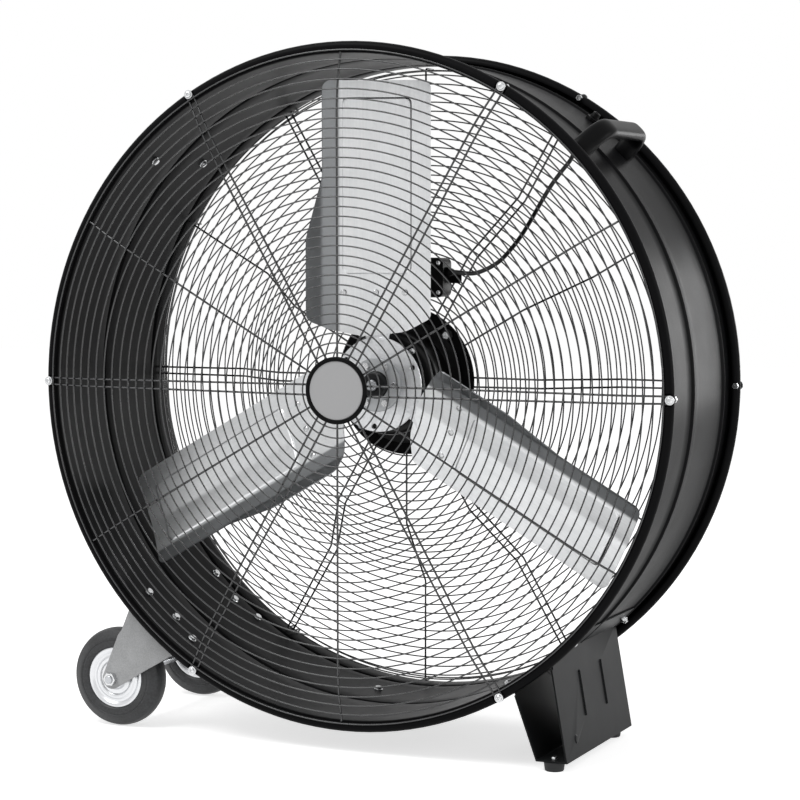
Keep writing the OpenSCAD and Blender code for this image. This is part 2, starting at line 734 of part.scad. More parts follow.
// A smooth curve through the cable's points
function curve_point(a, b, c, d, t) = 0.5 * (
    2 * b + (c - a) * t + (2 * a - 5 * b + 4 * c - d) * t * t + (3 * b - a - 3 * c + d) * t * t * t
);
function smooth_path(p, steps) = let (last = len(p) - 1) concat(
    [for (i = [0:last - 1], k = [0:steps - 1])
        curve_point(p[max(i - 1, 0)], p[i], p[i + 1], p[min(i + 2, last)], k / steps)],
    [p[last]]
);
function heading(p, i) = let (last = len(p) - 1)
    let (v = p[min(i + 1, last)] - p[max(i - 1, 0)]) v / norm(v);
function ring_at(p, u, r, n) =
    let (
        side = norm([u[0], u[1]]) > 0.001 ? cross(u, [0, 0, 1]) : [0, -1, 0],
        a = side / norm(side),
        b = cross(u, a)
    ) [for (k = [0:n - 1]) p + r * (a * cos(360 * k / n) + b * sin(360 * k / n))];

module tube_along(p, r, n) {
    last = len(p) - 1;
    points = [for (i = [0:last]) each ring_at(p[i], heading(p, i), r, n)];
    sides = [for (i = [0:last - 1], k = [0:n - 1])
        [i * n + k, i * n + (k + 1) % n, (i + 1) * n + (k + 1) % n, (i + 1) * n + k]];
    ends = [[for (k = [n - 1:-1:0]) k], [for (k = [0:n - 1]) last * n + k]];
    polyhedron(points = points, faces = concat(sides, ends), convexity = 6);
}

module motor_cable() color("#0c0c0d") fan_frame()
    tube_along(smooth_path(concat(cable_in, cable_points, cable_out), 4), cable_r, cable_sides);

// Handle
module handle() color("#111113") fan_frame() at_angle(handle_angle) difference() {
    foot_r = drum_inner_r - 6;
    top_r = drum_outer_r + handle_h;
    intersection() {
        side_profile() linear_extrude(2 * handle_w, center = true) difference() {
            polygon(rounded([
                [foot_r, handle_front_z + 4, 0], [drum_outer_r + 5, handle_front_z, 8],
                [top_r, handle_front_z - 32, 26], [top_r, handle_rear_z + 32, 26],
                [drum_outer_r + 5, handle_rear_z, 8], [foot_r, handle_rear_z - 4, 0]
            ]));
            polygon(rounded([
                [foot_r - 5, handle_front_z - 38, 0], [top_r - grip_t, handle_front_z - 42, 14],
                [top_r - grip_t, handle_rear_z + 42, 14], [foot_r - 5, handle_rear_z + 38, 0]
            ]));
        }
        translate([0, 0, handle_rear_z - 10])
            linear_extrude(handle_front_z - handle_rear_z + 20) polygon(rounded([
            [foot_r - 1, -handle_w / 2, 0], [top_r, -handle_w / 2, 8], [top_r, handle_w / 2, 8],
            [foot_r - 1, handle_w / 2, 0]
        ]));
    }
    translate([0, 0, handle_rear_z - 20]) at_angle(-handle_angle)
        cylinder(h = handle_front_z - handle_rear_z + 40, r = drum_outer_r + seat, $fn = fine);
    for (z = handle_bolts_z) translate([0, 0, z]) facing_out()
        translate([0, 0, drum_inner_r]) cylinder(h = 22, r = bolt_d / 2 + hole_gap / 2);
}

module handle_bolts() color("#c9cacc") fan_frame() at_angle(handle_angle) for (z = handle_bolts_z)
    translate([0, 0, z]) facing_out() translate([0, 0, drum_inner_r - seat]) {
        rotate([180, 0, 0]) {
            cylinder(h = 1.4, r = bolt_d * 1.1);
            translate([0, 0, 1.4]) hexagon(bolt_d * 1.65, bolt_d * 0.6);
        }
        translate([0, 0, -eps]) cylinder(h = 20, d = bolt_d);
    }

// Wheel brackets
module bracket_outline() {
    a = [drum_inner_r * cos(bracket_half_angle), drum_inner_r * sin(bracket_half_angle)];
    b = [a[0], -a[1]];
    c = [axle_reach, 0];
    ta = touch_point(a, c, bracket_tip_r, -1);
    tb = touch_point(b, c, bracket_tip_r, 1);
    half = atan2(ta[1], ta[0] - axle_reach);
    polygon(concat([b], [for (i = [-6:6]) c + bracket_tip_r * [cos(half * i / 6), sin(half * i / 6)]], [a]));
}

module bracket_flange(drop) {
    wide = flange_inner_r * sin(bracket_half_angle);
    translate([drum_inner_r - 100, 0, 0]) rotate([90, 0, 90]) linear_extrude(130) polygon(rounded([
        [-wide - 10, bracket_top_z + bracket_t / 2, 0], [wide, bracket_top_z + bracket_t / 2, 0],
        [wide, bracket_top_z - 46 - drop, 10], [22, bracket_top_z - 62 - drop, 14],
        [-22, bracket_top_z - 62 - drop, 14], [-wide - 10, bracket_top_z - 46 - drop, 10]
    ]));
}

module bracket(drop, rib_z) difference() {
    union() {
        intersection() {
            side_profile() linear_extrude(200, center = true) polygon(strip([
                [drum_inner_r - 10, bracket_top_z], [bracket_bend_r - 4, bracket_top_z],
                [bracket_bend_r + 4, bracket_low_z], [axle_reach + 2 * bracket_tip_r, bracket_low_z]
            ], -bracket_t / 2, bracket_t / 2));
            translate([0, 0, bracket_top_z - 20]) linear_extrude(60) bracket_outline();
        }
        intersection() {
            union() {
                cylinder(h = bead_z, r = flange_inner_r + bracket_t, $fn = fine);
                if (rib_z > 0) rib_band(rib_z, bracket_t);
            }
            bracket_flange(drop);
        }
    }
    translate([0, 0, -300]) cylinder(h = 600, r = flange_inner_r, $fn = fine);
    if (rib_z > 0) rib_band(rib_z, 0.3);
    translate([axle_reach, 0, bracket_low_z - 10]) cylinder(h = 20, r = axle_r + hole_gap);
}

module wheel_bracket_front() color("#8e8f91") fan_frame() difference() {
    at_angle(wheel_angle) bracket(0, 0);
    for (b = bracket_bolts) wall_hole(wheel_angle + b[0], b[1], bolt_d + 2 * hole_gap);
}

module wheel_bracket_rear() color("#8e8f91") fan_frame() difference() {
    mirror([0, 0, 1]) at_angle(wheel_angle) bracket(8, rear_rib_z);
    for (b = rear_bracket_bolts) wall_hole(wheel_angle + b[0], b[1], bolt_d + 2 * hole_gap);
}

module wheel_bracket_bolts() color("#c9cacc") fan_frame() for (b = all_bracket_bolts)
    wall_bolt(wheel_angle + b[0], b[1], bracket_t);

// Axle and wheels
module at_axle() fan_frame() translate([axle_xy[0], axle_xy[1], 0]) children();

module both_ends() for (s = [0, 1]) mirror([0, 0, s]) children();

module wheel_axle() color("#b5b7ba") at_axle() rotate_extrude() polygon([
    [0, -axle_half], [axle_r - 1, -axle_half], [axle_r, -axle_half + 1], [axle_r, axle_half - 1],
    [axle_r - 1, axle_half], [0, axle_half]
]);

module axle_nuts() color("#d4d5d7") at_axle() both_ends()
    translate([0, 0, bracket_low_z + bracket_t / 2 + seat]) hex_nut(3 * axle_r, axle_nut_h, axle_r + 0.02);

module axle_washers() color("#d4d5d7") at_axle() both_ends() {
    translate([0, 0, wheel_z + wheel_hub_half + 0.2]) pipe(axle_r * 1.9, axle_r + hole_gap, 2);
    translate([0, 0, wheel_z - wheel_hub_half - 2.2]) pipe(axle_r * 1.9, axle_r + hole_gap, 2);
}

module axle_collars() color("#b5b7ba") at_axle() both_ends()
    translate([0, 0, wheel_z - wheel_hub_half - 12.4]) difference() {
        pipe(axle_r * 1.8, axle_r + 0.02, 10);
        translate([0, 0, 5]) rotate([0, 90, 0]) cylinder(h = 20, r = 2);
    }

module tyre() rotate_extrude($fn = fine) polygon(rounded([
    [rim_r_outer, -wheel_w / 2 + 4, 0], [rim_r_outer + 4, -wheel_w / 2 + 1.5, 2],
    [rim_r_outer + 9, -wheel_w / 2, 3], [wheel_r - 15, -wheel_w / 2, 8], [wheel_r - 3, -wheel_w / 3, 6],
    [wheel_r - 0.3, -wheel_w / 8, 5], [wheel_r, 0, 0], [wheel_r - 0.3, wheel_w / 8, 5],
    [wheel_r - 3, wheel_w / 3, 6], [wheel_r - 15, wheel_w / 2, 8], [rim_r_outer + 9, wheel_w / 2, 3],
    [rim_r_outer + 4, wheel_w / 2 - 1.5, 2], [rim_r_outer, wheel_w / 2 - 4, 0]
]));

module rim() rotate_extrude($fn = fine) {
    web = wheel_w / 4;
    hub_wall_r = axle_r + 5;
    translate([axle_r + running, -wheel_hub_half]) square([5 - running, 2 * wheel_hub_half]);
    translate([rim_r_outer - 2, -wheel_w / 2 + 4]) square([2 - 0.02, wheel_w - 8]);
    polygon(strip([
        [hub_wall_r - 1, web], [hub_wall_r + 5, web], [hub_wall_r + 9, web + 5], [hub_wall_r + 15, web + 5],
        [hub_wall_r + 17, web + 2.5], [hub_wall_r + 20, web + 2.5], [hub_wall_r + 22, web + 5],
        [rim_r_outer - 7, web + 5], [rim_r_outer - 1, web + 1]
    ], -0.9, 0.9));
}

module front_tyre() color("#2a2b2d") at_axle() translate([0, 0, wheel_z]) tyre();
module front_rim() color("#e3e4e6") at_axle() translate([0, 0, wheel_z]) rim();
module rear_tyre() color("#2a2b2d") at_axle() translate([0, 0, -wheel_z]) tyre();
module rear_rim() color("#e3e4e6") at_axle() translate([0, 0, -wheel_z]) mirror([0, 0, 1]) rim();

// Foot
module foot_section() {
    polygon(strip([foot_out_top, foot_out_low, foot_in_low, foot_in_top], -foot_t, 0));
    difference() {
        circle(r = flange_inner_r + foot_t, $fn = fine);
        circle(r = flange_inner_r, $fn = fine);
        polygon([
            [0, 0], 2 * wall_point(foot_out_deg + foot_flange_deg), [2 * drum_outer_r, 0],
            [0, 2 * drum_outer_r], [-4 * drum_outer_r, 0], 2 * wall_point(foot_in_deg - foot_flange_deg)
        ]);
        polygon([[0, 0], 2 * wall_point(foot_in_deg + 0.2), 2 * wall_point(foot_out_deg - 0.2)]);
    }
}

module foot_slab(z0, z1) translate([0, 0, z0]) linear_extrude(z1 - z0) children();

module on_outer_plate(along, out) {
    slope = atan2(foot_out_top[1] - foot_out_low[1], foot_out_top[0] - foot_out_low[0]);
    translate([foot_out_low[0], foot_out_low[1], 0]) rotate(slope) translate([along, out, 0]) children();
}

module foot_channel() color("#2c2d2f") fan_frame() difference() {
    union() {
        foot_slab(foot_rear_z, foot_neck_z) difference() {
            foot_section();
            circle(r = flange_inner_r, $fn = fine);
        }
        foot_slab(foot_neck_z - eps, foot_front_z) difference() {
            foot_section();
            circle(r = rim_r + 2.5, $fn = fine);
        }
        for (z = foot_rib_z) on_outer_plate(52, -0.3) translate([0, 0, z]) {
            rotate([0, 90, 0]) cylinder(h = 62, r = 2);
            sphere(r = 2);
            translate([62, 0, 0]) sphere(r = 2);
        }
        on_outer_plate(26, 0.5) translate([0, 0, 104]) rotate([90, 0, 0]) cylinder(h = 1.8, r1 = 7, r2 = 5);
    }
    for (z = pad_z) translate([pad_x, foot_floor, z]) rotate([90, 0, 0])
        translate([0, 0, -10]) cylinder(h = 20, r = 2.5 + hole_gap);
    for (b = foot_bolts_at) wall_hole(b[0], b[1], bolt_d + 2 * hole_gap);
    for (z = [mid_rib_z, -rear_rib_z]) rib_band(z, 0.3);
}

module foot_bolts() color("#c9cacc") fan_frame() for (b = foot_bolts_at) wall_bolt(b[0], b[1], foot_t);

module under_foot(z) translate([pad_x, foot_floor, z]) rotate([90, 0, 0]) children();

module foot_pads() color("#161618") fan_frame() for (z = pad_z) under_foot(z) difference() {
    rotate_extrude($fn = fine) polygon(rounded([
        [0, 0, 0], [pad_r, 0, 0.8], [pad_r - 1.6, pad_h, 2], [0, pad_h, 0]
    ]));
    translate([0, 0, -1]) cylinder(h = pad_h + 2, r = 2.5 + hole_gap);
    translate([0, 0, pad_h - 5]) cylinder(h = 6, r = 6);
}

module foot_pad_screws() color("#c9cacc") fan_frame() for (z = pad_z) under_foot(z) {
    translate([0, 0, pad_h - 5 + seat]) rotate([180, 0, 0]) {
        translate([0, 0, -2.6]) cylinder(h = 2.6, r = 4.6);
        cylinder(h = pad_h + 2, r = 2.5);
    }
    translate([0, 0, -foot_t - 4 - seat]) hex_nut(8, 4, 2.5 - eps);
}

// Rotating parts of the motor
module key_slot(gap) translate([-key_w / 2 - gap, -shaft_r - 2 - gap, hub_flange_z - key_len / 2 - gap])
    cube([key_w + 2 * gap, 4 + 2 * gap, key_len + 2 * gap]);

module motor_shaft() color("#a9abae") fan_frame() difference() {
    rotate_extrude() polygon([
        [0, motor_rear_z + 3], [shaft_r - 1, motor_rear_z + 3], [shaft_r, motor_rear_z + 4],
        [shaft_r, shaft_front_z - 1.5], [shaft_r - 1.5, shaft_front_z], [0, shaft_front_z]
    ]);
    key_slot(0.02);
}

module rotor_core() color("#77797c") fan_frame() translate([0, 0, core_mid_z - core_len / 2])
    pipe(rotor_r, shaft_r + 0.02, core_len);

module shaft_key() color("#8b8d90") fan_frame() key_slot(0);

// Hub and spider
module each_hub_bolt() for (i = [0:5]) at_angle(60 * i, hub_bolt_circle_r) children();

module hub() color("#2b2c2e") fan_frame() difference() {
    rotate_extrude($fn = 96) polygon(rounded([
        [0, hub_rear_z, 0], [hub_r, hub_rear_z, 1.5], [hub_r, hub_flange_z, 0],
        [hub_flange_r, hub_flange_z, 0],
        [hub_flange_r, hub_flange_z + hub_flange_t, 2], [hub_r - 3, hub_flange_z + hub_flange_t, 2],
        [hub_r - 4, hub_front_z, 2], [0, hub_front_z, 0]
    ]));
    translate([0, 0, hub_rear_z - 1]) cylinder(h = 100, r = shaft_r + 0.02);
    key_slot(0.02);
    each_hub_bolt() translate([0, 0, hub_flange_z - 5]) cylinder(h = 30, r = bolt_d / 2 + hole_gap);
    translate([0, 0, hub_rear_z + 8]) rotate([-90, 0, 0]) cylinder(h = 40, r = 3 + hole_gap / 2);
}

module hub_bolts() color("#b9babd") fan_frame() each_hub_bolt() {
    translate([0, 0, hub_flange_z + hub_flange_t]) hexagon(bolt_d * 1.65, bolt_d * 0.65);
    translate([0, 0, spider_disc_z - 7]) cylinder(h = spider_disc_t + hub_flange_t + 8, d = bolt_d);
    translate([0, 0, spider_disc_z - 5]) hex_nut(bolt_d * 1.65, 5, bolt_d / 2 - eps);
}

module hub_set_screw() color("#3a3b3d") fan_frame() translate([0, 0, hub_rear_z + 8]) rotate([-90, 0, 0])
    translate([0, 0, shaft_r + seat]) difference() {
        cylinder(h = hub_r - shaft_r - 2, r = 3);
        translate([0, 0, hub_r - shaft_r - 5]) cylinder(h = 10, r = 1.5, $fn = 6);
    }

// Places a blade's own frame: X across the blade, Y outwards along the radius, Z forwards
module at_blade(i) rotate(120 * i) translate([0, 0, blade_z]) rotate([0, blade_pitch, 0]) children();

// Bends a strip of the blade's section along the radius
module along_blade(near_r, far_r, a, b) translate([0, far_r, 0]) rotate([90, 0, 0])
    linear_extrude(far_r - near_r) polygon(strip(section, a, b));

// The lean of the section under a rivet, and the height of its middle line
function rivet_lean(s) = s < crease_s ? crease_angle : 0;
function rivet_lift(s) = s < crease_s ? (crease_s - s) * tan(crease_angle) : 0;

module each_rivet() for (s = rivet_s) translate([s, rivet_row_r, rivet_lift(s)]) rotate([0, rivet_lean(s), 0])
    children();

module rivet_holes() each_rivet() translate([0, 0, -15]) cylinder(h = 30, d = rivet_d + 2 * hole_gap);

module arm_outline() polygon(rounded([
    [-arm_neck, spider_disc_r - 8, 0], [-arm_neck, arm_neck_r, 24], [-arm_left, arm_wide_r, 14],
    [-arm_left, arm_end_r, 8], [arm_right, arm_end_r, 8], [arm_right, arm_wide_r, 14],
    [arm_neck, arm_neck_r, 24], [arm_neck, spider_disc_r - 8, 0]
]));

module spider() color("#b9bbbe") fan_frame() difference() {
    union() {
        translate([0, 0, spider_disc_z]) cylinder(h = spider_disc_t, r = spider_disc_r, $fn = fine);
        for (i = [0:2]) at_blade(i) intersection() {
            along_blade(30, arm_end_r + 10, blade_t / 2, blade_t / 2 + arm_t);
            translate([0, 0, -50]) linear_extrude(100) arm_outline();
        }
    }
    for (i = [0:2]) at_blade(i) rivet_holes();
    translate([0, 0, spider_disc_z - 20]) cylinder(h = 40, r = hub_r + seat);
    each_hub_bolt() translate([0, 0, spider_disc_z - 5]) cylinder(h = 20, r = bolt_d / 2 + hole_gap);
}

module blade_outline() polygon(rounded([
    [blade_half_w - eps, blade_tip_r, 13], [section[3][0], blade_tip_r, 13], [section[3][0], 305, 40],
    [section[4][0] + 0.5, 214, 40], [section[4][0] + 0.5, 96, 14], [section[3][0] + 8, 82, 30], [-20, 71, 90],
    [42, 78, 60], [blade_half_w - eps, 98, 10]
]));

module panel_outline(inset) translate([0, 0, -60]) linear_extrude(120) polygon(rounded([
    [-panel_half_w + inset, panel_low_r + inset, 9 - inset],
    [panel_half_w - inset, panel_low_r + inset, 9 - inset],
    [panel_half_w - inset, panel_high_r - inset, 9 - inset],
    [-panel_half_w + inset, panel_high_r - inset, 9 - inset]
]));

module blade(i) fan_frame() at_blade(i) difference() {
    union() {
        intersection() {
            along_blade(50, blade_tip_r + 10, -blade_t / 2, blade_t / 2);
            translate([0, 0, -60]) linear_extrude(120) blade_outline();
        }
        intersection() {
            along_blade(panel_low_r - 10, panel_high_r + 10, -blade_t / 2 - panel_h, 0);
            panel_outline(0);
        }
    }
    intersection() {
        along_blade(panel_low_r - 10, panel_high_r + 10, blade_t / 2 - panel_h, blade_t + 2);
        panel_outline(1.6);
    }
    rivet_holes();
}

module blade_1() color("#c2c4c6") blade(0);
module blade_2() color("#c2c4c6") blade(1);
module blade_3() color("#c2c4c6") blade(2);

module blade_rivets() color("#a9abae") fan_frame() for (i = [0:2]) at_blade(i) each_rivet() {
    translate([0, 0, blade_t / 2]) pan_head(rivet_d, 2);
    translate([0, 0, -blade_t / 2 - arm_t - eps]) cylinder(h = blade_t + arm_t + 2 * eps, d = rivet_d);
    translate([0, 0, -blade_t / 2 - arm_t]) rotate([180, 0, 0]) pan_head(rivet_d, 2);
}

drum_shell();
front_grille_rings();
front_grille_spokes();
front_grille_screws();
badge_disc();
badge_ring();
badge_clamp_plate();
badge_bolt();
rear_grille_rings();
rear_grille_spokes();
rear_grille_screws();
grille_nuts();
motor_mount_plate();
motor_mount_bolts();
motor_housing();
motor_front_bell();
motor_rear_bell();
motor_through_bolts();
stator_core();
stator_windings();
front_bearing();
rear_bearing();
terminal_box();
terminal_box_lid();
terminal_box_bracket();
terminal_box_screws();
box_gland();
drum_gland();
motor_cable();
handle();
handle_bolts();
wall_bolts();
wheel_bracket_front();
wheel_bracket_rear();
wheel_bracket_bolts();
wheel_axle();
axle_nuts();
axle_washers();
axle_collars();
foot_channel();
foot_bolts();
foot_pads();
foot_pad_screws();
motor_shaft();
rotor_core();
shaft_key();
hub();
hub_bolts();
hub_set_screw();
spider();
blade_1();
blade_2();
blade_3();
blade_rivets();
front_tyre();
front_rim();
rear_tyre();
rear_rim();
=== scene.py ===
"""Looks of a wheeled drum fan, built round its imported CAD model.

Every sub-assembly of the fan is a class that holds its sizes in millimetres, builds its meshes and dresses
them with a finish. The fan's own frame has X to the right, Y up and Z towards the viewer, from the middle of
the drum; the function fan() turns it into the row's frame, in metres.
"""

from __future__ import annotations

import json
import logging
import math
from dataclasses import dataclass, field
from enum import Enum
from functools import partial
from typing import Callable, Iterable, Sequence

import bmesh
import bpy
from mathutils import Euler, Matrix, Vector

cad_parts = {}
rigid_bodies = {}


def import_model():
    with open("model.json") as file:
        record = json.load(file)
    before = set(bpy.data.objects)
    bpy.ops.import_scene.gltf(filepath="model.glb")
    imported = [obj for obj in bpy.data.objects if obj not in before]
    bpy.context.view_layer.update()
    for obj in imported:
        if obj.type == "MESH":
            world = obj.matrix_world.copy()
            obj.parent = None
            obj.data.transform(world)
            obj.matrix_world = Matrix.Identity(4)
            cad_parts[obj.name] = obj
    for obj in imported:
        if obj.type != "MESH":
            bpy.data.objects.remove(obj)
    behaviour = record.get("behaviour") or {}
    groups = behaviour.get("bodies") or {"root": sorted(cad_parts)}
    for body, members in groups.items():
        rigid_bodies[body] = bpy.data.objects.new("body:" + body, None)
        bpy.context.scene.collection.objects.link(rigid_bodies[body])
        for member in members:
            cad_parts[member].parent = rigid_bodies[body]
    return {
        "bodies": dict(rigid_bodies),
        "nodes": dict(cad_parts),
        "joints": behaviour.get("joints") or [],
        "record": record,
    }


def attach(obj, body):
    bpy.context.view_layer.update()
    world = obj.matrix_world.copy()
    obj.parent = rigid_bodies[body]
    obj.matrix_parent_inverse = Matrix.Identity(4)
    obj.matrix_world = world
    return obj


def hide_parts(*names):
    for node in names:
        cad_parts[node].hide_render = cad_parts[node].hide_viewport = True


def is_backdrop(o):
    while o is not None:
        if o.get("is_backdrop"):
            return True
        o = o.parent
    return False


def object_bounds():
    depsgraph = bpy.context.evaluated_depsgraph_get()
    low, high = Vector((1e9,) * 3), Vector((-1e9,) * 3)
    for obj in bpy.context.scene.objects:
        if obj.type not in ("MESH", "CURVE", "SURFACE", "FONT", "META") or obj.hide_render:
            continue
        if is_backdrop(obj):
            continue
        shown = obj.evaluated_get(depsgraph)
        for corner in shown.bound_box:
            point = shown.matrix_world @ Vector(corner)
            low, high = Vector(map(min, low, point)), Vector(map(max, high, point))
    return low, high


LOG = logging.getLogger("drum_fan")
MM = 0.001
SCREWS = 6
BLADES = 3
Point2 = tuple[float, float]
Point3 = tuple[float, float, float]
Piece = bpy.types.Object
Tree = bpy.types.NodeTree
Node = bpy.types.Node
Socket = bpy.types.NodeSocket


# Sizes shared by the sub-assemblies


@dataclass(frozen=True)
class FanSizes:
    """Sizes that more than one sub-assembly uses, in millimetres and degrees, as the CAD has them."""

    middle_y: float = 6.1
    axle_reach: float = 596.5
    wheel_angle: float = 229.0
    wheel_r: float = 75.0
    drum_inner_r: float = 477.5
    sheet: float = 1.2
    bead_r: float = 8.5
    drum_len: float = 333.0
    notch_floor: float = 163.2
    screw_circle_r: float = 490.0
    loop_r: float = 5.0
    spoke_wire: float = 3.0
    ring_wire: float = 2.2
    loop_z: float = 164.75
    washer_z: float = 166.3
    rib_z: tuple[float, float] = (26.0, -121.0)
    blade_z: float = 41.0
    motor_front_z: float = 6.0
    motor_rear_z: float = -116.0
    shaft_r: float = 8.5

    @property
    def axis_height(self) -> float:
        """Height of the fan's axis above the floor."""
        return self.axle_reach * math.sin(math.radians(self.wheel_angle - 180)) + self.wheel_r

    @property
    def drum_outer_r(self) -> float:
        """Outer radius of the drum's wall."""
        return self.drum_inner_r + self.sheet

    @property
    def bead_z(self) -> float:
        """Distance of each bead's middle from the drum's mid-plane."""
        return self.drum_len / 2 - self.bead_r

    @property
    def axle(self) -> Point2:
        """The axle's place, right of and above the fan's axis."""
        return polar(self.axle_reach, self.wheel_angle, 0)[:2]


def polar(r: float, degrees: float, z: float) -> Point3:
    """Gives a point of the fan's frame from its radius, angle and height."""
    a = math.radians(degrees)
    return r * math.cos(a), r * math.sin(a), z


SIZES = FanSizes()


def fan(x: float, y: float, z: float) -> Vector:
    """Turns a point of the fan's frame into the row's frame.

    Args:
        x: Distance to the right of the fan's axis, in millimetres.
        y: Distance above the axis.
        z: Distance in front of the drum's mid-plane.

    Returns:
        The point in metres.
    """
    return Vector((x, SIZES.middle_y - z, SIZES.axis_height + y)) * MM


def out_of_fan(direction: Point3) -> Vector:
    """Turns a direction of the fan's frame into the row's frame."""
    return Vector((direction[0], -direction[2], direction[1])).normalized()


# Node trees


def add(tree: Tree, kind: str, links: dict | None = None, **settings) -> Node:
    """Adds a node with its settings, values and links.

    Args:
        tree: The tree that gets the node.
        kind: Blender's name of the node type.
        links: Input name or number to a socket to link, or to a plain value.
        **settings: The node's own properties.

    Returns:
        The new node.
    """
    node = tree.nodes.new(kind)
    for name, value in settings.items():
        setattr(node, name, value)
    for key, value in (links or {}).items():
        if isinstance(value, Socket):
            tree.links.new(value, node.inputs[key])
        else:
            node.inputs[key].default_value = value
    return node


def start_tree(name: str, inputs: dict[str, str]) -> tuple[Tree, Node]:
    """Starts a Geometry Nodes tree with a geometry, the named inputs of their kinds, and a material.

    Args:
        name: The tree's name.
        inputs: The kind of socket that each named input is.

    Returns:
        The tree and its group input.
    """
    tree = bpy.data.node_groups.new(name, "GeometryNodeTree")
    for socket, kind in {"Geometry": "Geometry", **inputs, "Material": "Material"}.items():
        tree.interface.new_socket(socket, in_out="INPUT", socket_type=f"NodeSocket{kind}")
    tree.interface.new_socket("Geometry", in_out="OUTPUT", socket_type="NodeSocketGeometry")
    return tree, add(tree, "NodeGroupInput")


def close_tree(tree: Tree, given: Node, last: Socket) -> None:
    """Ends a tree in realised instances with their material.

    Args:
        tree: The tree.
        given: Its group input.
        last: The geometry that the tree has made.
    """
    real = add(tree, "GeometryNodeRealizeInstances", {"Geometry": last})
    values = {"Geometry": real.outputs[0], "Material": given.outputs["Material"]}
    dressed = add(tree, "GeometryNodeSetMaterial", values)
    add(tree, "NodeGroupOutput", {"Geometry": dressed.outputs[0]})


def run_tree(name: str, mesh: bpy.types.Mesh, tree: Tree, values: dict) -> Piece:
    """Runs a Geometry Nodes tree on a mesh, with values for its inputs, and gives a plain mesh.

    Args:
        name: The object's name.
        mesh: The points or lines that the tree starts from.
        tree: The tree.
        values: The value of each named input.

    Returns:
        The result as a plain mesh object, linked to the scene.
    """
    piece = bpy.data.objects.new(name, mesh)
    bpy.context.scene.collection.objects.link(piece)
    modifier = piece.modifiers.new("tree", "NODES")
    modifier.node_group = tree
    for item in tree.interface.items_tree:
        if item.item_type == "SOCKET" and item.in_out == "INPUT" and item.name in values:
            modifier[item.identifier] = values[item.name]
    return settle(piece)


def linear(hex_colour: str) -> tuple[float, float, float, float]:
    """Turns an sRGB hex colour into linear RGBA.

    Args:
        hex_colour: The colour as # and six digits.

    Returns:
        Red, green, blue and an alpha of 1.
    """
    parts = [int(hex_colour[i : i + 2], 16) / 255 for i in (1, 3, 5)]
    r, g, b = (c / 12.92 if c <= 0.04045 else ((c + 0.055) / 1.055) ** 2.4 for c in parts)
    return r, g, b, 1.0


class Grain(Enum):
    """How a surface was made, which sets the pattern of its bump and colour."""

    ORANGE_PEEL = "sprayed or powder-coated paint"
    ROLLED = "rolled sheet, streaked along its UV map"
    TURNED = "turned or pressed round, streaked round an axis"
    CAST = "cast or sand-blasted"
    MOULDED = "moulded plastic or rubber"
    SPANGLED = "zinc plate with a fine crystal pattern"


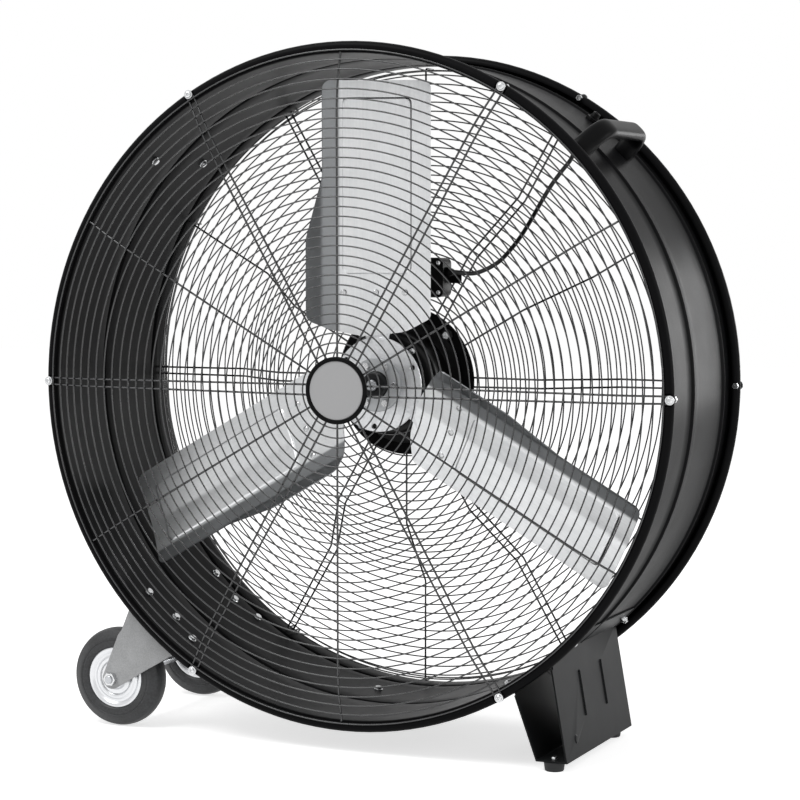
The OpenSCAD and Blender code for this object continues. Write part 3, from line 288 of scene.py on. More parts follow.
@dataclass(frozen=True)
class Finish:
    """A surface finish: its colours, gloss and grain."""

    name: str
    slot: str
    colour: str
    second: str
    grain: Grain
    grain_mm: float
    bump_mm: float
    roughness: float
    roughness_swing: float = 0.06
    second_share: float = 0.35
    patch_mm: float = 60.0
    metallic: float = 0.0
    specular: float = 0.5
    coat: float = 0.0
    sheen: float = 0.0
    turned_about: Point3 = (0.0, 0.0, 0.0)
    # Colour of painted shade, mixed in by the mesh's per-point weight of the same name.
    worn: str = ""

    def _where(self, tree: Tree) -> Socket:
        """Gives the coordinates that the grain is drawn on.

        Args:
            tree: The material's tree.

        Returns:
            The coordinates' socket.
        """
        if self.grain is Grain.ROLLED:
            uv = add(tree, "ShaderNodeUVMap", uv_map="sheet").outputs["UV"]
            return add(tree, "ShaderNodeMapping", {"Vector": uv, "Scale": (1.0, 0.025, 1.0)}).outputs[0]
        place = add(tree, "ShaderNodeTexCoord").outputs["Object"]
        back = tuple(-v for v in self.turned_about)
        moved = add(tree, "ShaderNodeMapping", {"Vector": place, "Location": back}).outputs[0]
        if self.grain is not Grain.TURNED:
            return moved
        parts = add(tree, "ShaderNodeSeparateXYZ", {0: moved})
        flat = add(tree, "ShaderNodeCombineXYZ", {0: parts.outputs[0], 2: parts.outputs[2]})
        reach = add(tree, "ShaderNodeVectorMath", {0: flat.outputs[0]}, operation="LENGTH")
        return add(tree, "ShaderNodeCombineXYZ", {0: reach.outputs["Value"], 1: parts.outputs[1]}).outputs[0]

    def build(self) -> bpy.types.Material:
        """Builds the material.

        Returns:
            A new material with its own node tree.
        """
        material = bpy.data.materials.new(self.name)
        material.use_nodes = True
        tree = material.node_tree
        tree.nodes.clear()
        grain = {"Vector": self._where(tree), "Scale": 1 / (self.grain_mm * MM)}
        if self.grain is Grain.SPANGLED:
            cells = add(tree, "ShaderNodeTexVoronoi", grain).outputs["Color"]
            fine = add(tree, "ShaderNodeSeparateColor", {0: cells}).outputs[0]
        else:
            fine = add(tree, "ShaderNodeTexNoise", {**grain, "Detail": 3.0}).outputs["Fac"]
        place = add(tree, "ShaderNodeTexCoord").outputs["Object"]
        patches = {"Vector": place, "Scale": 1 / (self.patch_mm * MM), "Detail": 4.0}
        broad = add(tree, "ShaderNodeTexNoise", patches).outputs["Fac"]
        both = add(tree, "ShaderNodeMath", {0: fine, 1: broad}, operation="ADD").outputs[0]
        share = add(tree, "ShaderNodeMapRange", {0: both, 1: 0.7, 2: 1.3, 3: 0.0, 4: self.second_share})
        colours = {0: share.outputs[0], 6: linear(self.colour), 7: linear(self.second)}
        tint = add(tree, "ShaderNodeMix", colours, data_type="RGBA").outputs[2]
        # Painted shade: a darker colour mixed in by a per-point weight that the mesh carries.
        if self.worn:
            shade_mask = add(tree, "ShaderNodeAttribute", attribute_name="worn").outputs["Fac"]
            colours = {0: shade_mask, 6: tint, 7: linear(self.worn)}
            tint = add(tree, "ShaderNodeMix", colours, data_type="RGBA").outputs[2]
        low, high = self.roughness - self.roughness_swing, self.roughness + self.roughness_swing
        gloss = add(tree, "ShaderNodeMapRange", {0: both, 1: 0.6, 2: 1.4, 3: low, 4: high})
        bump = add(tree, "ShaderNodeBump", {"Height": fine, "Strength": 0.6, "Distance": self.bump_mm * MM})
        values = {
            "Base Color": tint,
            "Roughness": gloss.outputs[0],
            "Normal": bump.outputs[0],
            "Metallic": self.metallic,
            "IOR": 1.5,
            "Specular IOR Level": self.specular,
            "Coat Weight": self.coat,
            "Coat Roughness": 0.08,
            "Sheen Weight": self.sheen,
        }
        shader = add(tree, "ShaderNodeBsdfPrincipled", values)
        add(tree, "ShaderNodeOutputMaterial", {"Surface": shader.outputs[0]})
        return material


AXIS = tuple(fan(0, 0, 0))
FRONT_AXLE = tuple(fan(*SIZES.axle, 0))


class Paintbox:
    """Builds each finish once, when a piece first asks for it."""

    # Black powder coat: baked polyester powder. Satin, with a faint orange peel that breaks up long
    # highlights.
    DRUM = Finish(
        "powder_coat_black", "black_paint", "#101011", "#1a1a1b", Grain.ORANGE_PEEL, 2.2, 0.03, 0.36, 0.05,
        specular=0.03,
    )
    # Black dipped paint on drawn wire: glossier than the drum, slightly uneven where it ran.
    GRILLE = Finish(
        "dipped_wire_black", "grille_paint", "#1e1f21", "#2a2b2d", Grain.ORANGE_PEEL, 4.0, 0.02, 0.24,
        specular=0.8,
    )
    # Black motor enamel over cast aluminium and rolled steel.
    MOTOR = Finish(
        "motor_enamel_black", "motor_paint", "#0b0b0c", "#141516", Grain.CAST, 1.6, 0.05, 0.33, specular=0.25
    )
    # Textured black powder coat on pressed sheet, greyer than the drum where the light rakes it.
    FOOT = Finish(
        "powder_coat_charcoal", "foot_paint", "#1b1c1d", "#222324", Grain.ORANGE_PEEL, 1.4, 0.05, 0.4,
        specular=0.06,
    )
    # Mid-grey powder coat on the wheel brackets.
    BRACKET = Finish(
        "powder_coat_grey", "bracket_grey", "#9c9d9e", "#c4c5c6", Grain.ORANGE_PEEL, 1.6, 0.04, 0.34,
        second_share=0.8, patch_mm=38.0,
    )
    # Mill-finish aluminium sheet: soft streaks along the rolling direction. Its second, darker colour is
    # painted shade on the outer folded strips, which turn away from the light.
    BLADE = Finish(
        "mill_aluminium", "blade_aluminium", "#eaebec", "#d2d4d6", Grain.ROLLED, 2.4, 0.02, 0.35, 0.07,
        second_share=0.45, metallic=1.0, worn="#96989a",
    )
    # Zinc-plated steel of the spider, dull and light grey.
    SPIDER = Finish(
        "zinc_plate_dull", "spider_steel", "#dddee0", "#c6c8ca", Grain.SPANGLED, 3.0, 0.01, 0.4, metallic=1.0
    )
    # Bright zinc plate on screws, nuts and washers.
    ZINC = Finish(
        "zinc_plate_bright", "zinc", "#d6d7d8", "#b4b5b7", Grain.SPANGLED, 1.2, 0.004, 0.27, metallic=1.0
    )
    # Pressed zinc-plated wheel rim, with faint rings from the press.
    RIM = Finish(
        "pressed_zinc_rim", "rim_zinc", "#dcdddf", "#bcbec0", Grain.TURNED, 1.0, 0.02, 0.3,
        metallic=1.0, turned_about=FRONT_AXLE,
    )
    # Turned steel shaft and axle, faint tool rings.
    SHAFT = Finish(
        "turned_steel", "bright_steel", "#b9bbbe", "#a3a5a8", Grain.TURNED, 0.8, 0.01, 0.28,
        metallic=1.0, turned_about=AXIS,
    )
    # Cast iron hub under silver paint.
    HUB = Finish("silvered_iron", "hub_iron", "#b9bbbd", "#a4a6a8", Grain.CAST, 1.2, 0.08, 0.46, metallic=0.7)
    # The hub's turned nose, oiled and blackened.
    NOSE = Finish(
        "blackened_iron", "hub_iron", "#1a1b1c", "#29292b", Grain.CAST, 1.2, 0.06, 0.36, metallic=0.6
    )
    # Blued steel of the set screw.
    DARK_STEEL = Finish(
        "blued_steel", "dark_steel", "#303134", "#232427", Grain.CAST, 1.0, 0.01, 0.35, metallic=1.0
    )
    # Laminated core steel, matt grey.
    CORE = Finish(
        "lamination_steel", "core_steel", "#8a8c8f", "#717376", Grain.TURNED, 0.6, 0.03, 0.55,
        metallic=1.0, turned_about=AXIS,
    )
    # Enamelled copper windings under varnish.
    COPPER = Finish(
        "varnished_copper", "copper", "#8c4a22", "#6d3717", Grain.TURNED, 1.1, 0.12, 0.35,
        metallic=0.7, coat=0.4, turned_about=AXIS,
    )
    # Injection-moulded black nylon with a fine spark texture.
    PLASTIC = Finish(
        "moulded_nylon_black", "black_plastic", "#0b0b0c", "#131314", Grain.MOULDED, 0.9, 0.03, 0.36,
        specular=0.07,
    )
    # Grey printed plastic disc, left blank, satin.
    BADGE = Finish(
        "satin_plastic_grey", "grey_plastic", "#b2b2b3", "#b9b9ba", Grain.MOULDED, 0.7, 0.006, 0.38
    )
    # Carbon-black tyre rubber with a dusty bloom.
    TYRE = Finish(
        "tyre_rubber", "tyre_rubber", "#141516", "#424345", Grain.MOULDED, 3.2, 0.08, 0.52, 0.14,
        second_share=0.9, patch_mm=20.0, sheen=0.05,
    )
    # Moulded rubber of the foot's pads.
    PAD = Finish(
        "pad_rubber", "pad_rubber", "#18191a", "#242527", Grain.MOULDED, 1.4, 0.04, 0.6, specular=0.4
    )
    # Extruded PVC cable sheath.
    CABLE = Finish("pvc_sheath", "cable_rubber", "#0f1011", "#1a1b1c", Grain.MOULDED, 3.0, 0.03, 0.45)

    def __init__(self) -> None:
        """Starts with no material built."""
        self._built: dict[str, bpy.types.Material] = {}

    def material(self, finish: Finish) -> bpy.types.Material:
        """Gives a finish's material, and builds it at its first use.

        Args:
            finish: The finish.

        Returns:
            The one material of that finish.
        """
        if finish.name not in self._built:
            self._built[finish.name] = finish.build()
        return self._built[finish.name]


# Mesh tools


def mesh_piece(
    name: str, points: Iterable[Sequence[float]], faces: Iterable[Sequence[int]], sharp: float = 32.0
) -> Piece:
    """Makes an object from points and faces, closed up and with its faces outwards.

    Args:
        name: The object's name.
        points: Points in the row's frame, in metres.
        faces: Corner numbers of each face.
        sharp: Edges that turn by more than this many degrees stay sharp.

    Returns:
        The new object, linked to the scene.
    """
    mesh = bpy.data.meshes.new(name)
    mesh.from_pydata([tuple(p) for p in points], [], [tuple(f) for f in faces])
    shape = bmesh.new()
    shape.from_mesh(mesh)
    bmesh.ops.remove_doubles(shape, verts=shape.verts, dist=1e-6)
    bmesh.ops.recalc_face_normals(shape, faces=shape.faces)
    return linked(name, mesh, shape, sharp)


def linked(name: str, mesh: bpy.types.Mesh, shape: bmesh.types.BMesh, sharp: float) -> Piece:
    """Writes a shape to its mesh, smooths it up to the sharp angle and links its object to the scene.

    Args:
        name: The object's name.
        mesh: The mesh that gets the shape.
        shape: The finished shape, which is freed.
        sharp: Edges that turn by more than this many degrees stay sharp.

    Returns:
        The new object.
    """
    shape.to_mesh(mesh)
    shape.free()
    mesh.shade_smooth()
    mesh.set_sharp_from_angle(angle=math.radians(sharp))
    piece = bpy.data.objects.new(name, mesh)
    bpy.context.scene.collection.objects.link(piece)
    return piece


def settle(piece: Piece) -> Piece:
    """Applies a piece's modifiers, so that it is a plain mesh.

    Args:
        piece: The piece.

    Returns:
        The same piece.
    """
    bpy.context.view_layer.update()
    graph = bpy.context.evaluated_depsgraph_get()
    mesh = bpy.data.meshes.new_from_object(piece.evaluated_get(graph))
    piece.modifiers.clear()
    piece.data = mesh
    mesh.name = piece.name
    return piece


def lathe(
    name: str,
    profile: Sequence[Point2],
    steps: int = 128,
    closed: bool = True,
    centre: Point2 = (0.0, 0.0),
    sharp: float = 32.0,
    shape: Callable[[float, float, float], Point2] | None = None,
    stations: Sequence[float] | None = None,
) -> Piece:
    """Turns a profile of radius and height round an axis of the fan's frame.

    Args:
        name: The object's name.
        profile: Points of radius and height, in millimetres.
        steps: Number of even stations round the axis.
        closed: True where the profile's last point joins its first.
        centre: The axis, right of and above the fan's axis.
        sharp: The angle past which an edge stays sharp.
        shape: Changes a point by its radius, height and angle, for notches and lugs.
        stations: Angles in degrees, where they are not even.

    Returns:
        The new object.
    """
    angles = list(stations) if stations is not None else [360 * i / steps for i in range(steps)]
    points, faces = [], []
    count, turns = len(profile), len(angles)
    for degrees in angles:
        a = math.radians(degrees)
        for r, z in profile:
            if shape is not None:
                r, z = shape(r, z, degrees)
            points.append(fan(centre[0] + r * math.cos(a), centre[1] + r * math.sin(a), z))
    for i in range(turns):
        j = (i + 1) % turns
        for k in range(count if closed else count - 1):
            m = (k + 1) % count
            faces.append((i * count + k, j * count + k, j * count + m, i * count + m))
    return mesh_piece(name, points, faces, sharp)


def arc(centre: Point2, r: float, start: float, end: float, steps: int) -> list[Point2]:
    """Gives points on an arc, from one angle to another in degrees."""
    turn = [math.radians(start + (end - start) * i / steps) for i in range(steps + 1)]
    return [(centre[0] + r * math.cos(a), centre[1] + r * math.sin(a)) for a in turn]


def rounded(corners: Sequence[Point3], steps: int = 5) -> list[Point2]:
    """Rounds the corners of an outline.

    Args:
        corners: Points of x, y and corner radius.
        steps: Number of edges in each rounded corner.

    Returns:
        The outline's points.
    """
    out: list[Point2] = []
    for i, (x, y, r) in enumerate(corners):
        b = Vector((x, y))
        if r <= 0:
            out.append((x, y))
            continue
        to_a = (Vector(corners[i - 1][:2]) - b).normalized()
        to_c = (Vector(corners[(i + 1) % len(corners)][:2]) - b).normalized()
        half = to_a.angle(to_c) / 2
        middle = b + (to_a + to_c).normalized() * r / math.sin(half)
        first = b + to_a * r / math.tan(half) - middle
        last = b + to_c * r / math.tan(half) - middle
        start = math.atan2(first.y, first.x)
        turn = math.atan2(last.y, last.x) - start
        turn = turn - math.tau if turn > math.pi else turn + math.tau if turn < -math.pi else turn
        for k in range(steps + 1):
            a = start + turn * k / steps
            out.append((middle.x + r * math.cos(a), middle.y + r * math.sin(a)))
    return out


def bent(points: Sequence[Point2], r: float, steps: int) -> list[Point2]:
    """Rounds every bend of an open line to one radius."""
    last = len(points) - 1
    return rounded([(x, y, 0.0 if i in (0, last) else r) for i, (x, y) in enumerate(points)], steps)


def thickened(points: Sequence[Point2], thick: float) -> list[Point2]:
    """Gives the closed outline of a sheet of even thickness about its middle line.

    Args:
        points: The middle line.
        thick: The sheet's thickness.

    Returns:
        The outline, along one side of the line and back on the other.
    """
    line = [Vector(p) for p in points]
    left: list[Point2] = []
    right: list[Point2] = []
    for i, p in enumerate(line):
        along = (line[min(i + 1, len(line) - 1)] - line[max(i - 1, 0)]).normalized()
        across = Vector((-along.y, along.x)) * thick / 2
        left.append(tuple(p + across))
        right.append(tuple(p - across))
    return left + right[::-1]


def smoothstep(low: float, high: float, value: float) -> float:
    """Gives 0 below low, 1 above high and a smooth rise between them."""
    t = min(max((value - low) / (high - low), 0.0), 1.0)
    return t * t * (3 - 2 * t)


def sweep(
    name: str, path: Sequence[Vector], rings: Sequence[Sequence[Point2]], up: Vector, sharp: float = 40.0
) -> Piece:
    """Draws a section along a path, with closed ends.

    Args:
        name: The object's name.
        path: Points in the row's frame, in metres.
        rings: The section at each point, as points across and along up, in metres.
        up: The direction that the section's second coordinate follows.
        sharp: The angle past which an edge stays sharp.

    Returns:
        The new object.
    """
    points, faces = [], []
    count, last = len(rings[0]), len(path) - 1
    for i, p in enumerate(path):
        ahead = (path[min(i + 1, last)] - path[max(i - 1, 0)]).normalized()
        side = ahead.cross(up).normalized()
        rise = side.cross(ahead).normalized()
        points.extend(p + side * u + rise * v for u, v in rings[i])
    for i in range(last):
        for k in range(count):
            m = (k + 1) % count
            faces.append((i * count + k, i * count + m, (i + 1) * count + m, (i + 1) * count + k))
    faces.append(tuple(range(count)))
    faces.append(tuple(last * count + k for k in range(count)))
    return mesh_piece(name, points, faces, sharp)


@dataclass
class Workshop:
    """What every sub-assembly needs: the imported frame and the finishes."""

    frame: dict
    paints: Paintbox = field(default_factory=Paintbox)
    made: int = 0

    def finish(
        self, piece: Piece, finish: Finish, body: str = "frame", replaces: Sequence[str] = ()
    ) -> None:
        """Dresses a piece, hides the CAD nodes that it stands for and seats it on its body.

        Args:
            piece: The finished mesh object, at the origin.
            finish: Its surface finish.
            body: The CAD body that it moves with.
            replaces: The CAD nodes that it stands for.
        """
        piece.data.materials.clear()
        piece.data.materials.append(self.paints.material(finish))
        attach(piece, body)
        if replaces:
            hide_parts(*replaces)
        self.made += 1
        LOG.info("%s: %d faces, on %s", piece.name, len(piece.data.polygons), body)

    def dress(self, finishes: dict[str, Finish]) -> None:
        """Gives CAD nodes that stay in view their finishes.

        Args:
            finishes: The finish of each node.
        """
        for node, finish in finishes.items():
            data = self.frame["nodes"][node].data
            data.materials.clear()
            data.materials.append(self.paints.material(finish))
            LOG.info("%s: CAD node in %s", node, finish.name)

    def soften(self, node: str, name: str, width_mm: float, finish: Finish, body: str = "frame") -> None:
        """Puts a copy of a CAD node in its place, with flat faces merged and edges rounded.

        Args:
            node: The CAD node.
            name: The new piece's name.
            width_mm: Width of the rounded edges.
            finish: The piece's surface finish.
            body: The CAD body that it moves with.
        """
        shape = bmesh.new()
        shape.from_mesh(self.frame["nodes"][node].data)
        bmesh.ops.remove_doubles(shape, verts=shape.verts, dist=2e-6)
        merge = {"angle_limit": math.radians(0.6), "delimit": {"NORMAL"}}
        bmesh.ops.dissolve_limit(shape, verts=shape.verts, edges=shape.edges, **merge)
        piece = linked(name, bpy.data.meshes.new(name), shape, 30.0)
        edges = piece.modifiers.new("edges", "BEVEL")
        edges.width = width_mm * MM
        edges.segments = 2
        edges.limit_method = "ANGLE"
        edges.angle_limit = math.radians(35)
        edges.use_clamp_overlap = False
        edges.miter_outer = "MITER_ARC"
        edges.harden_normals = True
        self.finish(settle(piece), finish, body, [node])


# Geometry Nodes: wires and fasteners


@dataclass
class WireMaker:
    """Builds the grille wires with Geometry Nodes."""

    sides: int

    def _start(self, name: str) -> tuple[Tree, Node]:
        """Starts a tree with the inputs that both kinds of wire share."""
        kinds = {"Wire Radius": "Float", "Sides": "Int", "Repeats": "Int", "Middle": "Vector"}
        return start_tree(name, kinds)

    def _thicken(
        self, tree: Tree, given: Node, lines: Socket
    ) -> Socket:
        """Draws a round section along the lines.

        Args:
            tree: The tree.
            given: Its group input.
            lines: The curves.

        Returns:
            The wires' socket.
        """
        values = {"Resolution": given.outputs["Sides"], "Radius": given.outputs["Wire Radius"]}
        section = add(tree, "GeometryNodeCurvePrimitiveCircle", values)
        values = {"Curve": lines, "Profile Curve": section.outputs[0], "Fill Caps": True}
        wire = add(tree, "GeometryNodeCurveToMesh", values)
        return add(tree, "GeometryNodeSetShadeSmooth", {"Geometry": wire.outputs[0]}).outputs[0]

    def _run(
        self, name: str, mesh: bpy.types.Mesh, tree: Tree, radius_mm: float, repeats: int
    ) -> Piece:
        """Runs a wire tree on a mesh."""
        values = {"Wire Radius": radius_mm * MM, "Sides": self.sides, "Repeats": repeats, "Middle": AXIS}
        return run_tree(name, mesh, tree, values)

    def rings(self, name: str, places: Sequence[Point2], radius_mm: float, edges: int) -> Piece:
        """Makes a ring round the fan's axis at each place.

        Args:
            name: The object's name.
            places: Each ring's radius and height, in millimetres.
            radius_mm: The wire's radius.
            edges: Number of edges in a ring.

        Returns:
            The rings as one plain mesh.
        """
        mesh = bpy.data.meshes.new(name)
        mesh.from_pydata([tuple(fan(0, 0, z)) for _, z in places], [], [])
        mesh.attributes.new("reach", "FLOAT", "POINT").data.foreach_set("value", [r * MM for r, _ in places])
        tree, given = self._start("wire_rings")
        values = {"Resolution": given.outputs["Repeats"], "Radius": 1.0}
        circle = add(tree, "GeometryNodeCurvePrimitiveCircle", values)
        reach = add(tree, "GeometryNodeInputNamedAttribute", {"Name": "reach"}, data_type="FLOAT").outputs[0]
        size = add(tree, "ShaderNodeCombineXYZ", {0: reach, 1: reach, 2: reach})
        values = {
            "Points": given.outputs["Geometry"],
            "Instance": circle.outputs[0],
            "Rotation": (math.pi / 2, 0.0, 0.0),
            "Scale": size.outputs[0],
        }
        rings = add(tree, "GeometryNodeInstanceOnPoints", values)
        lines = add(tree, "GeometryNodeRealizeInstances", {"Geometry": rings.outputs[0]})
        close_tree(tree, given, self._thicken(tree, given, lines.outputs[0]))
        return self._run(name, mesh, tree, radius_mm, edges)

    def paths(
        self, name: str, paths: Sequence[Sequence[Point3]], radius_mm: float, repeats: int
    ) -> Piece:
        """Makes wires along paths and repeats them round the fan's axis.

        Args:
            name: The object's name.
            paths: Points of the fan's frame, in millimetres.
            radius_mm: The wire's radius.
            repeats: Number of copies round the axis.

        Returns:
            The wires as one plain mesh.
        """
        points: list[Point3] = []
        edges: list[tuple[int, int]] = []
        for path in paths:
            start = len(points)
            points.extend(tuple(Vector((x, -z, y)) * MM) for x, y, z in path)
            edges.extend((start + i, start + i + 1) for i in range(len(path) - 1))
        mesh = bpy.data.meshes.new(name)
        mesh.from_pydata(points, edges, [])
        tree, given = self._start("wire_paths")
        lines = add(tree, "GeometryNodeMeshToCurve", {"Mesh": given.outputs["Geometry"]})
        wire = self._thicken(tree, given, lines.outputs[0])
        values = {"Count": given.outputs["Repeats"], "Offset": (0.0, 0.0, 0.0)}
        spots = add(tree, "GeometryNodeMeshLine", values)
        number = add(tree, "GeometryNodeInputIndex")
        part = add(tree, "ShaderNodeMath", {0: math.tau, 1: given.outputs["Repeats"]}, operation="DIVIDE")
        turn = add(tree, "ShaderNodeMath", {0: number.outputs[0], 1: part.outputs[0]}, operation="MULTIPLY")
        spin = add(tree, "ShaderNodeCombineXYZ", {1: turn.outputs[0]})
        angle = add(tree, "FunctionNodeEulerToRotation", {0: spin.outputs[0]})
        values = {"Points": spots.outputs[0], "Instance": wire, "Rotation": angle.outputs[0]}
        copies = add(tree, "GeometryNodeInstanceOnPoints", values)
        values = {"Geometry": copies.outputs[0], "Translation": given.outputs["Middle"]}
        close_tree(tree, given, add(tree, "GeometryNodeTransform", values).outputs[0])
        return self._run(name, mesh, tree, radius_mm, repeats)


@dataclass
class FastenerRack:
    """Makes screws, bolts, nuts and rivets, and sets copies of them with Geometry Nodes."""

    steps: int = 32
    shank: float = 6.0
    grip: float = 12.0
    hex_share: float = 1.65
    washer_t: float = 1.4

    def _turned(
        self,
        profile: Sequence[Point2],
        steps: int,
        bump: Callable[[float, float], float] | None = None,
        across: float = 0.0,
    ) -> tuple[list, list]:
        """Turns a profile of radius and height round Z.

        Args:
            profile: Points of radius and height, in millimetres.
            steps: Number of stations.
            bump: Gives how much lower a point of the shape is.
            across: Width over the flats of the hexagon that the shape is cut to, or 0.

        Returns:
            The shape's points and faces.
        """
        points, faces = [], []
        count = len(profile)
        for i in range(steps):
            a = math.tau * i / steps
            flat = across / 2 / math.cos(a % (math.tau / 6) - math.tau / 12) if across else math.inf
            for r, z in profile:
                x, y = min(r, flat) * math.cos(a), min(r, flat) * math.sin(a)
                drop = bump(x, y) if bump is not None else 0.0
                points.append((x * MM, y * MM, (z - drop) * MM))
        for i in range(steps):
            j = (i + 1) % steps
            for k in range(count - 1):
                faces.append((i * count + k, j * count + k, j * count + k + 1, i * count + k + 1))
        return points, faces

    def _join(self, name: str, *parts: tuple[list, list]) -> Piece:
        """Joins shapes into one object that isn't linked to the scene.

        Args:
            name: The object's name.
            *parts: The points and faces of each shape.

        Returns:
            The new object.
        """
        points: list = []
        faces: list = []
        for more_points, more_faces in parts:
            start = len(points)
            points.extend(more_points)
            faces.extend(tuple(start + k for k in f) for f in more_faces)
        piece = mesh_piece(name, points, faces, 30.0)
        bpy.context.scene.collection.objects.unlink(piece)
        return piece

    def _washer(self, bore: float, r: float, thick: float) -> tuple[list, list]:
        """Gives a flat washer with rounded edges.

        Args:
            bore: Radius of the hole.
            r: Outer radius.
            thick: Thickness.

        Returns:
            The shape's points and faces.
        """
        e = min(0.25, thick / 3)
        loop = [(bore, 0), (r - e, 0), (r, e), (r, thick - e), (r - e, thick), (bore, thick), (bore, 0)]
        return self._turned(loop, self.steps)

    def _hex(self, across: float, height: float, z: float, bore: float) -> tuple[list, list]:
        """Gives a hexagon with its upper corners chamfered.

        Args:
            across: Width over the flats.
            height: Height of the hexagon.
            z: Height of its seat.
            bore: Radius of the hole, or 0.

        Returns:
            The shape's points and faces.
        """
        corner, top = across / 2 / math.cos(math.radians(30)), z + height
        loop = [(bore, z), (corner, z), (corner, z + height * 0.8), (across * 0.48, top), (bore, top)]
        return self._turned(loop + ([(bore, z)] if bore else []), 48, across=across)

    def pan_screw(self) -> Piece:
        """Makes a pan-head screw with a cross recess on a washer, seated at z = 0.

        Returns:
            The screw, along +Z.
        """

        def cross(x: float, y: float) -> float:
            """Depth of the recess at a point of the head."""
            near = min(abs(x), abs(y))
            reach = math.hypot(x, y)
            return 1.3 * (1 - smoothstep(0.42, 0.75, near)) * (1 - smoothstep(2.1, 2.6, reach))

        r, h, base = 4.75, 3.0, 1.2
        rise = [math.radians(a) for a in range(84, -1, -7)]
        crown = [(r * math.sin(a) ** 0.9, base + h * math.cos(a) ** 0.8) for a in rise]
        top = [(t * 0.25, base + h) for t in range(int(crown[-2][0] * 4), -1, -1)]
        head = [(0.0, base), (r, base), (r, 1.5)] + crown[:-1] + top
        stem = [(0.0, -20.0), (2.2, -20.0), (2.5, -19.5), (2.5, 1.3), (0.0, 1.3)]
        parts = self._washer(2.7, 6.5, base), self._turned(head, 72, cross), self._turned(stem, 20)
        return self._join("pan_screw", *parts)

    def hex_bolt(self) -> Piece:
        """Makes a hexagon bolt on a washer, with its head along +Z from z = 0 and its shank along -Z.

        Returns:
            The bolt.
        """
        d, r, end = self.shank, self.shank / 2, -self.grip
        thread = [(0.0, 0.5), (r, 0.5), (r, end), (r - 0.5, end - 0.5), (0.0, end - 0.5)]
        head = self._hex(d * self.hex_share, d * 0.6, self.washer_t, 0.0)
        washer = self._washer(r, d * 1.1, self.washer_t)
        return self._join("hex_bolt", washer, head, self._turned(thread, 24))

    def lock_nut(self) -> Piece:
        """Makes a lock nut with its nylon collar and the bolt's end in it, seated at z = 0.

        Returns:
            The nut, along +Z.
        """
        d, r, high = self.shank, self.shank / 2, self.shank * 0.8
        collar = [
            (r, high), (d * 0.72, high), (d * 0.72, high + 0.9), (d * 0.66, high + 1.4),
            (r + 0.2, high + 1.4), (r, high),
        ]
        end = [(0.0, 0.0), (r, 0.0), (r, high + 1.6), (r - 0.5, high + 2.1), (0.0, high + 2.1)]
        nut = self._hex(d * self.hex_share, high, 0.0, r)
        return self._join("lock_nut", nut, self._turned(collar, self.steps), self._turned(end, 24))

    def pin(self, r: float, half: float) -> Piece:
        """Makes a plain round pin about z = 0, to cut a hole with."""
        return self._join("pin", self._turned([(0.0, -half), (r, -half), (r, half), (0.0, half)], self.steps))

    def rivet(self) -> Piece:
        """Makes a domed blind rivet with its broken stem in the middle, seated at z = 0."""
        dome = [
            (0.0, 0.0), (4.7, 0.0), (4.75, 0.3), (4.5, 0.8), (3.9, 1.35), (3.0, 1.75), (1.6, 1.98),
            (1.5, 1.7), (0.0, 1.7),
        ]
        return self._join("rivet", self._turned(dome, self.steps))

    def place(
        self, name: str, shape: Piece, seats: Sequence[tuple[Vector, Vector]]
    ) -> Piece:
        """Sets a copy of a fastener at each seat.

        Args:
            name: The new object's name.
            shape: The fastener, along +Z.
            seats: The point and the direction of each copy, in the row's frame.

        Returns:
            All the copies as one plain mesh.
        """
        mesh = bpy.data.meshes.new(name)
        mesh.from_pydata([tuple(p) for p, _ in seats], [], [])
        layer = mesh.attributes.new("turn", "FLOAT_VECTOR", "POINT")
        for i, (_, along) in enumerate(seats):
            spin = Matrix.Rotation(0.7 + 1.9 * i, 3, "Z")
            turn: Euler = (along.to_track_quat("Z", "Y").to_matrix() @ spin).to_euler("XYZ")
            layer.data[i].vector = tuple(turn)
        tree, given = start_tree("set_fasteners", {"Fastener": "Object"})
        copy = add(tree, "GeometryNodeObjectInfo", {"Object": given.outputs["Fastener"]}).outputs["Geometry"]
        turns = add(tree, "GeometryNodeInputNamedAttribute", {"Name": "turn"}, data_type="FLOAT_VECTOR")
        angle = add(tree, "FunctionNodeEulerToRotation", {0: turns.outputs[0]}).outputs[0]
        values = {"Points": given.outputs["Geometry"], "Instance": copy, "Rotation": angle}
        close_tree(tree, given, add(tree, "GeometryNodeInstanceOnPoints", values).outputs[0])
        return run_tree(name, mesh, tree, {"Fastener": shape})


# Drum


